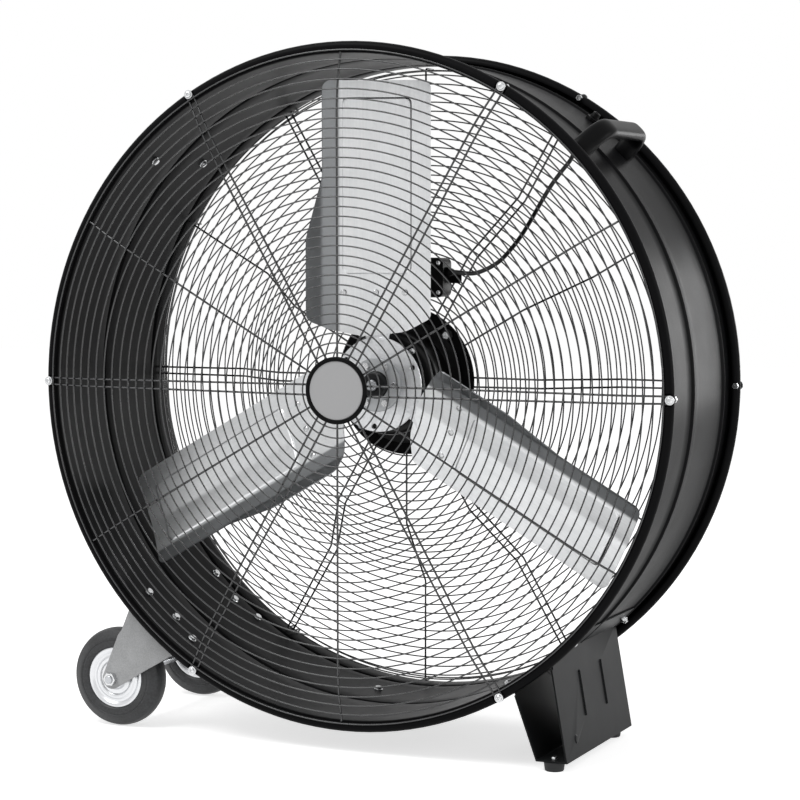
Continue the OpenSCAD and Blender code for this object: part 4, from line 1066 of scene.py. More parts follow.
@dataclass
class Drum:
    """The rolled steel drum with its two curled beads, ribs and screw seats."""

    rib_h: float = 3.4
    rib_half: float = 5.4
    rib_steps: int = 14
    notch_half: float = 7.5
    notch_slope: float = 2.2
    curl: tuple[float, float] = (-98.0, 180.0)
    curl_steps: int = 28
    wall_z: tuple[float, ...] = (140, 110, 80, 55, -5, -40, -75, -100, -140)
    even_stations: int = 144
    seat_cuts: tuple[float, ...] = (0, 3, 5.5, 7, 7.5, 8, 8.6, 9.3, 10.2, 12, 15)

    def centreline(self) -> list[Point2]:
        """Gives the sheet's middle line from one curl's end, over the wall, to the other's.

        Returns:
            Points of radius and height.
        """
        s = SIZES
        middle = (s.drum_inner_r + s.bead_r, s.bead_z)
        front = arc(middle, s.bead_r - s.sheet / 2, *self.curl, self.curl_steps)
        heights = set(self.wall_z)
        for rib in s.rib_z:
            heights |= {rib + self.rib_half * (1 - 2 * i / self.rib_steps) for i in range(self.rib_steps + 1)}
        wall = []
        for z in sorted(heights, reverse=True):
            lift = 0.0
            for rib in s.rib_z:
                t = abs(z - rib) / self.rib_half
                if t < 1:
                    lift = self.rib_h * (0.5 + 0.5 * math.cos(math.pi * t)) ** 0.8
            wall.append((s.drum_inner_r + s.sheet / 2 + lift, z))
        return front + wall + [(x, -z) for x, z in reversed(front)]

    def stations(self) -> list[float]:
        """Gives the angles of the drum's sections, close together at the screw seats.

        Returns:
            Angles in degrees, in order.
        """
        angles = {round(360 * i / self.even_stations, 3) for i in range(self.even_stations)}
        for k in range(SCREWS):
            angles -= {a for a in angles if abs((a - 60 * k + 180) % 360 - 180) < 2}
            for mm in self.seat_cuts:
                for side in (-1, 1):
                    angles.add(round((60 * k + side * math.degrees(mm / SIZES.screw_circle_r)) % 360, 3))
        return sorted(angles)

    def seat(self, r: float, z: float, degrees: float) -> Point2:
        """Presses the screw seats into the beads.

        Args:
            r: A point's radius.
            z: Its height.
            degrees: Its angle.

        Returns:
            The radius and height of the pressed point.
        """
        away = abs((degrees + 30) % 60 - 30)
        across = math.radians(away) * SIZES.screw_circle_r
        depth = 1 - smoothstep(self.notch_half, self.notch_half + self.notch_slope, across)
        if depth <= 0:
            return r, z
        middle = Vector((SIZES.drum_inner_r + SIZES.bead_r, math.copysign(SIZES.bead_z, z)))
        inner = (Vector((r, z)) - middle).length < SIZES.bead_r - SIZES.sheet / 2
        limit = SIZES.notch_floor - (SIZES.sheet if inner else 0.0)
        if abs(z) <= limit:
            return r, z
        return r, z + (math.copysign(limit, z) - z) * depth

    def build(self, shop: Workshop) -> None:
        """Builds the drum.

        Args:
            shop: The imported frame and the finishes.
        """
        section = thickened(self.centreline(), SIZES.sheet)
        piece = lathe("drum_skin", section, stations=self.stations(), shape=self.seat, sharp=50)
        shop.finish(piece, Paintbox.DRUM, replaces=["drum_shell"])


# Grilles and badge


@dataclass
class Grilles:
    """The two wire grilles, with hairpin spokes that loop round the screws."""

    pitch: float = 13.8
    first_r: float = 54.0
    ring_count: int = 32
    ring_edges: int = 168
    ring_sides: int = 7
    spoke_sides: int = 12
    sunk: float = 0.06
    dome_h: float = 12.0
    dome_start: float = 395.0
    dome_end: float = 474.0
    inner_r: float = 34.3
    single_end_r: float = 478.9
    spread: float = 0.3
    rear_path: tuple[Point2, ...] = (
        (88.0, -64.75), (218.0, -64.75), (316.0, -136.75),
        (473.3, -136.75), (473.3, -164.75), (490.0, -164.75),
    )
    rear_bend_r: float = 4.0
    rear_first: float = 27.0

    @property
    def lift(self) -> float:
        """Distance from a spoke's middle to the middle of a ring that lies on it."""
        return (SIZES.spoke_wire + SIZES.ring_wire) / 2 - self.sunk

    @property
    def dome_z(self) -> float:
        """Height of the front spokes in the middle of the grille."""
        return SIZES.loop_z + self.dome_h

    @property
    def dome_arc(self) -> float:
        """Radius of the curve from the front grille's middle to its rim."""
        wide = self.dome_end - self.dome_start
        return (wide * wide + self.dome_h * self.dome_h) / (2 * self.dome_h)

    def dome(self, r: float, lift: float) -> float:
        """Gives the height of the front grille at a radius, or of a wire that lies on it.

        Args:
            r: The radius.
            lift: How far above the spokes' middle the wire lies, or 0.

        Returns:
            The height in front of the drum's mid-plane.
        """
        if r <= self.dome_start:
            return self.dome_z + lift
        if r >= self.dome_end:
            return SIZES.loop_z + lift
        rise = math.sqrt((self.dome_arc + lift) ** 2 - (r - self.dome_start) ** 2)
        return self.dome_z - self.dome_arc + rise

    def front_line(self, end_r: float) -> list[Point2]:
        """Gives a front spoke's points of radius and height."""
        curve = [self.dome_start + (self.dome_end - self.dome_start) * i / 10 for i in range(11)]
        return [(self.inner_r, self.dome_z), *((r, self.dome(r, 0.0)) for r in curve), (end_r, SIZES.loop_z)]

    def rear_line(self, last: int) -> list[Point2]:
        """Gives a rear spoke's points, with its bends rounded."""
        return bent(self.rear_path[:last], self.rear_bend_r, 4)

    def hairpin(self, line: Sequence[Point2]) -> list[Point3]:
        """Bends a double spoke round its screw and gives its points in the fan's frame.

        Args:
            line: The spoke's radii and heights.

        Returns:
            Points from the middle, round the screw and back.
        """
        legs: list[list[Point3]] = []
        reach, loop = SIZES.screw_circle_r, SIZES.loop_r
        for side in (1, -1):
            a = math.radians(-side * self.spread)
            c, s, y = math.cos(a), math.sin(a), side * loop
            legs.append([(reach + (r - reach) * c - y * s, (r - reach) * s + y * c, z) for r, z in line])
        turn = [math.radians(80 - 160 * i / 10) for i in range(11)]
        end = [(reach + loop * math.cos(t), loop * math.sin(t), line[-1][1]) for t in turn]
        return [*legs[0], *end, *reversed(legs[1])]

    def rear_rings(self) -> list[Point2]:
        """Gives the rear rings, a pitch apart along the spokes and on their outer side.

        Returns:
            The radius and height of each ring.
        """
        legs = list(zip(self.rear_path[:4], self.rear_path[1:5]))
        lengths = [math.dist(a, b) for a, b in legs]
        places, along = [], self.rear_first
        while along <= sum(lengths) - SIZES.ring_wire:
            rest, number = along, 0
            while number < len(legs) - 1 and rest > lengths[number]:
                rest -= lengths[number]
                number += 1
            a, b = (Vector(p) for p in legs[number])
            u = (b - a).normalized()
            p = a + u * rest - Vector((-u.y, u.x)) * self.lift
            places.append((p.x, p.y))
            along += self.pitch
        return places

    def build(self, shop: Workshop) -> None:
        """Builds both grilles, each with six double spokes and a single one between each pair.

        Args:
            shop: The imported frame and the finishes.
        """
        radii = [self.first_r + self.pitch * k for k in range(self.ring_count)]
        places = {"front": [(r, self.dome(r, self.lift)) for r in radii], "rear": self.rear_rings()}
        maker = WireMaker(self.ring_sides)
        for side, rings in places.items():
            wires = maker.rings(f"{side}_ring_wires", rings, SIZES.ring_wire / 2, self.ring_edges)
            shop.finish(wires, Paintbox.GRILLE, replaces=[f"{side}_grille_rings"])
        lines = {
            "front": (self.front_line(SIZES.screw_circle_r), self.front_line(self.single_end_r)),
            "rear": (self.rear_line(6), self.rear_line(5)),
        }
        maker = WireMaker(self.spoke_sides)
        for side, (double, single) in lines.items():
            paths = [self.hairpin(double), [polar(r, 30, z) for r, z in single]]
            wires = maker.paths(f"{side}_spoke_wires", paths, SIZES.spoke_wire / 2, SCREWS)
            shop.finish(wires, Paintbox.GRILLE, replaces=[f"{side}_grille_spokes"])
        rack = FastenerRack()
        for name, side in (("front", 1), ("rear", -1)):
            points = [polar(SIZES.screw_circle_r, 60 * k, side * SIZES.washer_z) for k in range(SCREWS)]
            seats = [(fan(*p), out_of_fan((0, 0, side))) for p in points]
            screws = rack.place(f"{name}_cross_screws", rack.pan_screw(), seats)
            shop.finish(screws, Paintbox.ZINC, replaces=[f"{name}_grille_screws"])
        shop.dress({"grille_nuts": Paintbox.ZINC})


@dataclass
class Badge:
    """The blank disc in its black ring, and the plate that clamps both to the front grille."""

    disc_r: float = 42.2
    disc_lift: float = 1.4
    face: tuple[Point2, ...] = ((0.0, 1.55), (30.0, 1.55), (39.5, 1.5))
    lip_r: float = 1.0
    gap: float = 0.1
    ring_w: float = 5.9
    ring_h: float = 4.4
    ring_floor: float = 1.3
    bore_r: float = 3.2
    base_z: float = 178.3

    def build(self, shop: Workshop) -> None:
        """Builds the disc and the ring.

        Args:
            shop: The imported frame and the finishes.
        """
        z = self.base_z + self.disc_lift
        face = [(r, z + h) for r, h in self.face]
        lip = arc((self.disc_r - self.lip_r - 0.1, z + 0.5), self.lip_r, 80, 0, 5)
        disc = lathe("badge_face", face + lip + [(self.disc_r, z), (0.0, z)], steps=160, closed=False)
        shop.finish(disc, Paintbox.BADGE, replaces=["badge_disc"])
        r, out = self.disc_r + self.gap, self.disc_r + self.gap + self.ring_w
        low, floor, top = self.base_z, self.base_z + self.ring_floor, self.base_z + self.ring_h
        profile = [
            (self.bore_r, low, 0), (out, low, 0.6), (out, top, 2.2), (r, top, 1.4), (r, floor, 0.3),
            (self.bore_r, floor, 0),
        ]
        ring = lathe("badge_rim", rounded(profile, 6), steps=160)
        shop.finish(ring, Paintbox.PLASTIC, replaces=["badge_ring"])
        shop.dress({"badge_clamp_plate": Paintbox.DRUM, "badge_bolt": Paintbox.ZINC})


# Motor, terminal box and cable


@dataclass
class Motor:
    """The totally enclosed motor and the plate that carries it on the rear grille."""

    bell_r: float = 78.0
    bell_depth: float = 18.0
    bell_bore: float = 10.0
    groove: float = 2.0
    shell_edge: float = 0.6
    plate_edge: float = 0.5

    def bell(self, name: str, face_z: float, way: int) -> Piece:
        """Makes an end bell with its bearing boss.

        Args:
            name: The object's name.
            face_z: Height of the bell's face.
            way: 1 for a bell that faces forwards, or -1.

        Returns:
            The bell.
        """
        bore, wide, deep, low = self.bell_bore, self.bell_r, self.bell_depth, self.bell_depth - self.groove
        base = face_z - way * deep
        profile = [
            (bore, 0, 0), (wide, 0, 0.8), (wide, deep, 9), (43.0, deep, 2), (39.0, low, 2), (26.0, low, 2),
            (24.0, deep, 1.5), (bore, deep, 0.8),
        ]
        return lathe(name, [(r, base + way * z) for r, z in rounded(profile, 6)], steps=144)

    def build(self, shop: Workshop) -> None:
        """Builds the motor's shell, and dresses what shows of its mount and its inside.

        Args:
            shop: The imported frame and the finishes.
        """
        for side, face_z, way in (("front", SIZES.motor_front_z, 1), ("rear", SIZES.motor_rear_z, -1)):
            bell = self.bell(f"{side}_bell_casting", face_z, way)
            shop.finish(bell, Paintbox.MOTOR, replaces=[f"motor_{side}_bell"])
        shop.soften("motor_housing", "motor_shell", self.shell_edge, Paintbox.MOTOR)
        shop.soften("motor_mount_plate", "mount_ring", self.plate_edge, Paintbox.DRUM)
        shop.dress(
            {
                "motor_mount_bolts": Paintbox.ZINC,
                "motor_through_bolts": Paintbox.ZINC,
                "stator_core": Paintbox.CORE,
                "stator_windings": Paintbox.COPPER,
                "front_bearing": Paintbox.SHAFT,
                "rear_bearing": Paintbox.SHAFT,
                "rotor_core": Paintbox.CORE,
            }
        )


@dataclass
class Wiring:
    """The terminal box on the rear grille and the motor cable to the gland in the drum."""

    radius: float = 3.25
    sides: int = 14
    steps: int = 6
    gland_angle: float = 54.0
    gland_z: float = -103.0
    box_side_x: float = 75.0
    gland_y: float = 165.0
    gland_height: float = -46.31
    points: tuple[Point3, ...] = (
        (112, 163, -54), (131, 169, -60), (149, 181, -69), (161, 198, -83), (171, 217, -98), (181, 243, -117),
        (191, 268, -130), (208, 295, -131), (226, 317, -130), (240, 332, -126), (253, 349, -113),
    )
    mouldings: tuple[tuple[str, str, float], ...] = (
        ("terminal_box", "terminal_housing", 0.8),
        ("terminal_box_lid", "terminal_cover", 0.9),
        ("box_gland", "housing_gland", 0.4),
        ("drum_gland", "wall_gland", 0.5),
    )
    strap_edge: float = 0.4

    def route(self) -> list[Vector]:
        """Gives the cable's line as a smooth curve through its points, in the row's frame.

        Returns:
            Points from the box to the gland, in metres.
        """
        start = [(self.box_side_x + x, self.gland_y, self.gland_height) for x in (-1, 6, 14)]
        end = [polar(SIZES.drum_inner_r - x, self.gland_angle, self.gland_z) for x in (28, 16, 4)]
        knots = [fan(*p) for p in [*start, *self.points, *end]]
        out = []
        for i in range(len(knots) - 1):
            a, b, c, d = (knots[min(max(i + k, 0), len(knots) - 1)] for k in (-1, 0, 1, 2))
            square, cube = 2 * a - 5 * b + 4 * c - d, 3 * b - a - 3 * c + d
            for t in (step / self.steps for step in range(self.steps)):
                out.append(0.5 * (2 * b + (c - a) * t + square * t * t + cube * t**3))
        return [*out, knots[-1]]

    def build(self, shop: Workshop) -> None:
        """Builds the cable, the box and the glands.

        Args:
            shop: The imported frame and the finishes.
        """
        r = self.radius * MM
        turns = [math.tau * k / self.sides for k in range(self.sides)]
        ring = [(r * math.cos(a), r * math.sin(a)) for a in turns]
        route = self.route()
        cable = sweep("motor_lead", route, [ring] * len(route), Vector((0, 1, 0)))
        shop.finish(cable, Paintbox.CABLE, replaces=["motor_cable"])
        tuple(route[0])
        sum((b - a).length for a, b in zip(route, route[1:]))
        [tuple(p) for p in route]
        for node, name, edge in self.mouldings:
            shop.soften(node, name, edge, Paintbox.PLASTIC)
        shop.soften("terminal_box_bracket", "terminal_strap", self.strap_edge, Paintbox.DRUM)
        shop.dress({"terminal_box_screws": Paintbox.ZINC})


# Propeller


@dataclass
class Propeller:
    """Three pressed aluminium blades riveted to a steel spider on a cast hub."""

    pitch: float = 17.0
    thick: float = 1.6
    half_w: float = 79.0
    tip_r: float = 446.0
    crease: float = -7.5
    folds: tuple[Point2, ...] = ((47.4, 9.0), (26.07, 16.0), (28.0, 38.0))
    bend_spread: tuple[float, ...] = (-2.5, -1.25, 0.0, 1.25, 2.5)
    panel_half: float = 51.0
    panel_low: float = 163.0
    panel_high: float = 421.0
    panel_h: float = 1.6
    panel_round: float = 9.0
    press_w: float = 2.6
    press_cuts: tuple[float, ...] = (-10, -6.5, -4, -3.2, -2.6, -2.1, -1.6, -1.1, -0.6, -0.2, 0.1, 0.7)
    rivet_r: float = 136.0
    rivet_s: tuple[float, ...] = (-49.0, -2.0, 41.0)
    arm_t: float = 3.0
    arm_neck: float = 17.0
    arm_sides: Point2 = (-58.0, 52.0)
    arm_past_rivets: float = 26.0
    arm_seam: float = 0.05
    twist_r: Point2 = (44.0, 104.0)
    lean_r: Point2 = (50.0, 100.0)
    disc_t: float = 4.0
    disc_r: float = 70.0
    hole_circle_r: float = 62.0
    hole_r: float = 4.2
    hole_depth: float = 8.0
    hole_turn: float = 25.0
    hub_r: float = 22.0
    hub_rear_z: float = 12.0
    flange_r: float = 40.0
    flange_t: float = 6.0
    nose_r: float = 18.0
    nose_h: float = 18.0

    def bends(self) -> list[Point2]:
        """Gives the blade's section as points across the blade and forwards, from right to left.

        Returns:
            The ends and bends of the section.
        """
        line = [(self.half_w, 0.0), (self.crease, 0.0)]
        for length, angle in self.folds:
            a = math.radians(angle)
            s, w = line[-1]
            line.append((s - length * math.cos(a), w + length * math.sin(a)))
        return line

    def lean(self, s: float) -> float:
        """Gives how far forwards the blade's middle sheet lies at s, with its bends rounded.

        Args:
            s: Distance across the blade, to the right.

        Returns:
            The distance forwards.
        """
        line = self.bends()

        def plain(at: float) -> float:
            """The height with sharp bends."""
            for (s1, w1), (s0, w0) in zip(line, line[1:]):
                if at >= s0 or (s0, w0) == line[-1]:
                    return w1 + (w0 - w1) * (s1 - at) / (s1 - s0)
            return 0.0

        return sum(plain(s + d) for d in self.bend_spread) / len(self.bend_spread)

    def emboss(self, s: float, r: float) -> float:
        """Gives the height of the pressed panel at a point of the blade.

        Args:
            s: Distance across the blade.
            r: Distance from the fan's axis.

        Returns:
            The height, 0 outside the panel.
        """
        low, high = self.panel_low, self.panel_high
        dx = abs(s) - (self.panel_half - self.panel_round)
        dy = abs(r - (low + high) / 2) - ((high - low) / 2 - self.panel_round)
        away = math.hypot(max(dx, 0), max(dy, 0)) + min(max(dx, dy), 0) - self.panel_round
        return self.panel_h * (1 - smoothstep(-self.press_w, 0.1, away))

    def outline(self) -> list[Point2]:
        """Gives the blade's outline, across and along its radius.

        Returns:
            The outline with its corners rounded.
        """
        line = self.bends()
        strip, lip = line[3][0], line[4][0] + 0.5
        profile = [
            (self.half_w, self.tip_r, 13), (strip, self.tip_r, 13), (strip, 305, 40), (lip, 214, 40),
            (lip, 96, 14), (strip + 8, 82, 30), (-20, 71, 90), (42, 78, 60), (self.half_w, 98, 10),
        ]
        return rounded(profile, 8)

    def sheet(
        self, outline: Sequence[Point2], columns: Iterable[float], rows: Iterable[float]
    ) -> bmesh.types.BMesh:
        """Cuts a flat outline into a fine grid along the given columns and rows.

        Args:
            outline: The outline.
            columns: Where it is cut across.
            rows: Where it is cut along.

        Returns:
            The grid.
        """
        shape = bmesh.new()
        shape.faces.new([shape.verts.new((x, y, 0.0)) for x, y in outline])
        cuts = [((x, 0, 0), (1, 0, 0)) for x in columns] + [((0, y, 0), (0, 1, 0)) for y in rows]
        for point, way in cuts:
            geometry = shape.verts[:] + shape.edges[:] + shape.faces[:]
            bmesh.ops.bisect_plane(shape, geom=geometry, dist=1e-5, plane_co=point, plane_no=way)
        return shape

    def on_blade(self, number: int, s: float, r: float, w: float, share: float = 1.0) -> Vector:
        """Places a point of a blade's own frame, at a share of the full pitch, in the row's frame.

        Args:
            number: The blade, from 0.
            s: Distance across the blade.
            r: Distance from the fan's axis.
            w: Distance out of the blade's plane.
            share: Share of the full pitch.

        Returns:
            The point in metres.
        """
        a, turn = math.radians(self.pitch * share), math.radians(120 * number)
        x, z = s * math.cos(a) + w * math.sin(a), -s * math.sin(a) + w * math.cos(a)
        c, d = math.cos(turn), math.sin(turn)
        return fan(x * c - r * d, x * d + r * c, SIZES.blade_z + z)

    def plate(
        self,
        name: str,
        shape: bmesh.types.BMesh,
        place: Callable[[float, float, float], Vector],
        thick: float,
        height: Callable[[float, float], float],
        worn: Callable[[float, float], float] | None = None,
    ) -> Piece:
        """Bends a flat grid into a plate of even thickness.

        Args:
            name: The object's name.
            shape: The flat grid.
            place: Turns a point across, along and out of the plate into the row's frame.
            thick: The plate's thickness, in millimetres.
            height: Gives how far out of plane the plate's middle lies.
            worn: Gives how much painted shade each point of the plate gets, from 0 to 1, where its finish
                takes it.

        Returns:
            The new object.
        """
        flat = [(v.co.x, v.co.y) for v in shape.verts]
        shape.verts.index_update()
        faces = [[v.index for v in f.verts] for f in shape.faces]
        rim = [(e.verts[0].index, e.verts[1].index) for e in shape.edges if len(e.link_faces) == 1]
        shape.free()
        step = 0.5
        points = []
        for side in (0.5, -0.5):
            for s, r in flat:
                ds = (height(s + step, r) - height(s - step, r)) / (2 * step)
                dr = (height(s, r + step) - height(s, r - step)) / (2 * step)
                out = Vector((-ds, -dr, 1)).normalized() * thick * side
                points.append(place(s + out.x, r + out.y, height(s, r) + out.z))
        count = len(flat)
        walls = [(a, b, b + count, a + count) for a, b in rim]
        back = [[i + count for i in reversed(f)] for f in faces]
        piece = mesh_piece(name, points, [*faces, *back, *walls], sharp=55)
        layer = piece.data.uv_layers.new(name="sheet")
        for loop in piece.data.loops:
            s, r = flat[loop.vertex_index % count] if len(piece.data.vertices) == 2 * count else (0.0, 0.0)
            layer.data[loop.index].uv = (s * MM, r * MM)
        # Per-point weight of painted shade, by which the finish mixes in its darker colour.
        if worn is not None:
            shade_mask = piece.data.attributes.new("worn", "FLOAT", "POINT")
            shade_mask.data.foreach_set("value", [worn(*flat[i % count]) for i in range(len(piece.data.vertices))])
        return piece

    def blade(self, number: int) -> Piece:
        """Makes one blade.

        Args:
            number: The blade, from 0.

        Returns:
            The blade.
        """
        line = self.bends()
        columns = {x for s, _ in line[1:4] for x in (s - 4, s - 2, s, s + 2, s + 4)}
        columns |= {e * (self.panel_half + d) for e in (-1, 1) for d in self.press_cuts}
        columns |= {x * 9.0 - 96 for x in range(20)}
        rows = {self.panel_low - d for d in self.press_cuts} | {self.panel_high + d for d in self.press_cuts}
        rows |= {75 + 9.5 * k for k in range(39)}
        return self.plate(
            f"blade_sheet_{number + 1}",
            self.sheet(self.outline(), sorted(columns), sorted(rows)),
            partial(self.on_blade, number),
            self.thick,
            lambda s, r: self.lean(s) + self.emboss(s, r),
            # Painted shade on the outer folded strips, which turn away from the light.
            worn=lambda s, r: 1 - smoothstep(line[2][0] - 3, line[2][0] + 1, s),
        )

    def spider_arm(self, number: int) -> Piece:
        """Makes one arm of the spider, twisted from the flat hub disc to the blade's pitch.

        Args:
            number: The arm's blade, from 0.

        Returns:
            The arm.
        """
        neck, (left, right), end = self.arm_neck, self.arm_sides, self.rivet_r + self.arm_past_rivets
        profile = [
            (-neck, 40, 0), (-neck, 74, 24), (left, 116, 14), (left, end, 8),
            (right, end, 8), (right, 116, 14), (neck, 74, 24), (neck, 40, 0),
        ]
        columns, rows = [-56 + 4 * k for k in range(28)], [42 + 3 * k for k in range(41)]

        def height(s: float, r: float) -> float:
            """Leans the arm as the blade leans, and lays it close behind the blade."""
            lean = self.lean(s) * smoothstep(*self.lean_r, r)
            return lean - self.thick / 2 - self.arm_t / 2 - self.arm_seam

        return self.plate(
            f"spider_arm_{number + 1}",
            self.sheet(rounded(profile, 7), columns, rows),
            lambda s, r, w: self.on_blade(number, s, r, w, smoothstep(*self.twist_r, r)),
            self.arm_t,
            height,
        )

    def drill(self, plate: Piece, places: Sequence[Point3]) -> None:
        """Cuts round holes along the fan's axis through a plate.

        Args:
            plate: The plate, which is changed.
            places: The holes' middles.
        """
        rack = FastenerRack()
        seats = [(fan(*p), out_of_fan((0, 0, 1))) for p in places]
        pins = rack.place("drill_pins", rack.pin(self.hole_r, self.hole_depth), seats)
        cut = plate.modifiers.new("holes", "BOOLEAN")
        cut.operation = "DIFFERENCE"
        cut.solver = "EXACT"
        cut.object = pins
        settle(plate)
        plate.data.shade_smooth()
        plate.data.set_sharp_from_angle(angle=math.radians(32))
        bpy.data.objects.remove(pins)

    def rivet_seats(self) -> list[tuple[Vector, Vector]]:
        """Gives the place and direction of each rivet's two ends.

        Returns:
            Seats for the fastener rack, front and rear in turn.
        """
        seats = []
        for number in range(BLADES):
            for s in self.rivet_s:
                for side in (1, -1):
                    w = self.lean(s) + (self.thick / 2 if side > 0 else -self.thick / 2 - self.arm_t)
                    slope = (self.lean(s + 1) - self.lean(s - 1)) / 2
                    seat = self.on_blade(number, s, self.rivet_r, w)
                    tip = self.on_blade(number, s - slope * side, self.rivet_r, w + side)
                    seats.append((seat, (tip - seat).normalized()))
        return seats

    def build(self, shop: Workshop) -> None:
        """Builds the blades, the spider, the hub and the rivets.

        Args:
            shop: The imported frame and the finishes.
        """
        for number in range(BLADES):
            shop.finish(self.blade(number), Paintbox.BLADE, "propeller", [f"blade_{number + 1}"])
        arms = [self.spider_arm(number) for number in range(BLADES)]
        middle = SIZES.blade_z - self.thick / 2 - self.arm_t / 2
        low, high = middle - self.disc_t / 2, middle + self.disc_t / 2
        ring_r, disc_r, bore = self.hub_r + 0.2, self.disc_r, SIZES.shaft_r
        profile = [(ring_r, low, 0), (disc_r, low, 0.6), (disc_r, high, 0.6), (ring_r, high, 0)]
        disc = lathe("spider_disc", rounded(profile, 3), steps=120)
        self.drill(disc, [polar(self.hole_circle_r, 60 * k + self.hole_turn, low) for k in range(6)])
        shop.finish(disc, Paintbox.SPIDER, "propeller", ["spider"])
        for arm in arms:
            shop.finish(arm, Paintbox.SPIDER, "propeller")
        rack = FastenerRack()
        rivets = rack.place("blind_rivets", rack.rivet(), self.rivet_seats())
        shop.finish(rivets, Paintbox.ZINC, "propeller", ["blade_rivets"])
        rear, face, foot = self.hub_rear_z, high + self.flange_t, high + self.flange_t - 0.5
        profile = [
            (bore, rear, 0), (self.hub_r, rear, 1.5), (self.hub_r, high, 0.5), (self.flange_r, high, 0.5),
            (self.flange_r, face, 2), (bore, face, 0),
        ]
        hub = lathe("hub_casting", rounded(profile, 5), steps=96)
        shop.finish(hub, Paintbox.HUB, "propeller", ["hub"])
        wide, end = self.nose_r, high + self.nose_h
        profile = [
            (bore, foot, 0), (wide + 3, foot, 0), (wide + 1, foot + 2, 2), (wide, end, 2), (bore, end, 0.8),
        ]
        shop.finish(lathe("hub_nose", rounded(profile, 5), steps=72), Paintbox.NOSE, "propeller")
        shop.soften("hub_bolts", "hub_hex_bolts", 0.3, Paintbox.ZINC, "propeller")
        shop.soften("motor_shaft", "shaft_turning", 0.2, Paintbox.SHAFT, "propeller")
        shop.dress({"shaft_key": Paintbox.SHAFT, "hub_set_screw": Paintbox.DARK_STEEL})


# Wheels, brackets, foot and handle


@dataclass
class Wheels:
    """The two wheels on their common axle, and the brackets that hold it."""

    width: float = 40.0
    plane: float = 127.0
    axle_r: float = 6.0
    rim_share: float = 0.61
    rim_t: float = 1.4
    rim_bend_r: float = 0.9
    rim_steps: tuple[Point2, ...] = (
        (4, 20.5), (8, 20.5), (10, 19.0), (12.5, 14.5), (19, 14.0), (21.5, 16.2), (25, 16.6), (27.5, 14.6),
        (31.5, 14.2), (34.5, 16.6), (37.5, 17.4), (39.2, 16.6), (39.4, 13.5),
    )
    band_r: Point2 = (43.6, 45.6)
    band_half: float = 15.5
    bush_r: Point2 = (0.1, 5.0)
    bush_half: float = 22.0
    bracket_edge: float = 0.9
    rod_edge: float = 0.3
    nut_edge: float = 0.4

    def tyre(self) -> list[Point2]:
        """Gives the tyre's section, with a groove inside each shoulder and a moulding line.

        Returns:
            Points of radius and height from the wheel's middle plane.
        """
        half, r = self.width / 2, SIZES.wheel_r
        rim = r * self.rim_share
        side = [
            (rim, half - 4, 0), (rim + 2.5, half - 1.6, 1.5), (rim + 5.5, half - 0.6, 2), (rim + 8, half, 1),
            (rim + 10, half, 0.6), (rim + 11, half - 0.9, 0.5), (rim + 12, half, 0.6),
            (r - 15, half, 6), (r - 3, half * 2 / 3, 6), (r - 0.3, half / 4, 4), (r, 0.5, 0.3),
        ]
        return rounded([*side, *((a, -b, c) for a, b, c in reversed(side))], 4)

    def wheel(self, shop: Workshop, name: str, z: float) -> None:
        """Builds one wheel about its middle plane.

        Args:
            shop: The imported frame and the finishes.
            name: The wheel's side, front or rear.
            z: Height of its middle plane.
        """
        body, centre = f"{name}_wheel", SIZES.axle
        section = [(r, z + h) for r, h in self.tyre()]
        tyre = lathe(f"{name}_tyre_moulding", section, steps=160, centre=centre, sharp=40)
        shop.finish(tyre, Paintbox.TYRE, body, [f"{name}_tyre"])
        line = bent([(self.axle_r + r, h) for r, h in self.rim_steps], self.rim_bend_r, 3)
        parts = []
        for letter, way in (("a", 1), ("b", -1)):
            section = [(r, z + way * h) for r, h in thickened(line, self.rim_t)]
            parts.append(lathe(f"{name}_rim_disc_{letter}", section, steps=144, centre=centre, sharp=40))
        (inner, outer), low, high = self.band_r, z - self.band_half, z + self.band_half
        band = rounded([(inner, low, 0.5), (outer, low, 0.5), (outer, high, 0.5), (inner, high, 0.5)], 2)
        parts.append(lathe(f"{name}_rim_band", band, steps=96, centre=centre))
        (inner, outer), low, high = self.bush_r, z - self.bush_half, z + self.bush_half
        inner, outer = self.axle_r + inner, self.axle_r + outer
        tube = rounded([(inner, low, 0), (outer, low, 0.5), (outer, high, 0.5), (inner, high, 0)], 2)
        parts.append(lathe(f"{name}_rim_bush", tube, steps=48, centre=centre))
        shop.finish(parts[0], Paintbox.RIM, body, [f"{name}_rim"])
        for part in parts[1:]:
            shop.finish(part, Paintbox.RIM, body)

    def build(self, shop: Workshop) -> None:
        """Builds the wheels, the axle and the brackets.

        Args:
            shop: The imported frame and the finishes.
        """
        self.wheel(shop, "front", self.plane)
        self.wheel(shop, "rear", -self.plane)
        for side in ("front", "rear"):
            name = f"{side}_bracket_pressing"
            shop.soften(f"wheel_bracket_{side}", name, self.bracket_edge, Paintbox.BRACKET)
        shop.soften("wheel_axle", "axle_rod", self.rod_edge, Paintbox.SHAFT)
        shop.soften("axle_nuts", "axle_hex_nuts", self.nut_edge, Paintbox.ZINC)
        shop.soften("axle_washers", "axle_flat_washers", self.nut_edge, Paintbox.ZINC)
        shop.soften("axle_collars", "axle_set_collars", self.nut_edge, Paintbox.ZINC)


@dataclass
class Foot:
    """The pressed foot channel on its two rubber pads."""

    channel_edge: float = 0.5
    pad_edge: float = 0.5
    screw_edge: float = 0.2

    def build(self, shop: Workshop) -> None:
        """Builds the foot, its pads and their screws.

        Args:
            shop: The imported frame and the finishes.
        """
        shop.soften("foot_channel", "foot_pressing", self.channel_edge, Paintbox.FOOT)
        shop.soften("foot_pads", "rubber_pads", self.pad_edge, Paintbox.PAD)
        shop.soften("foot_pad_screws", "pad_machine_screws", self.screw_edge, Paintbox.ZINC)


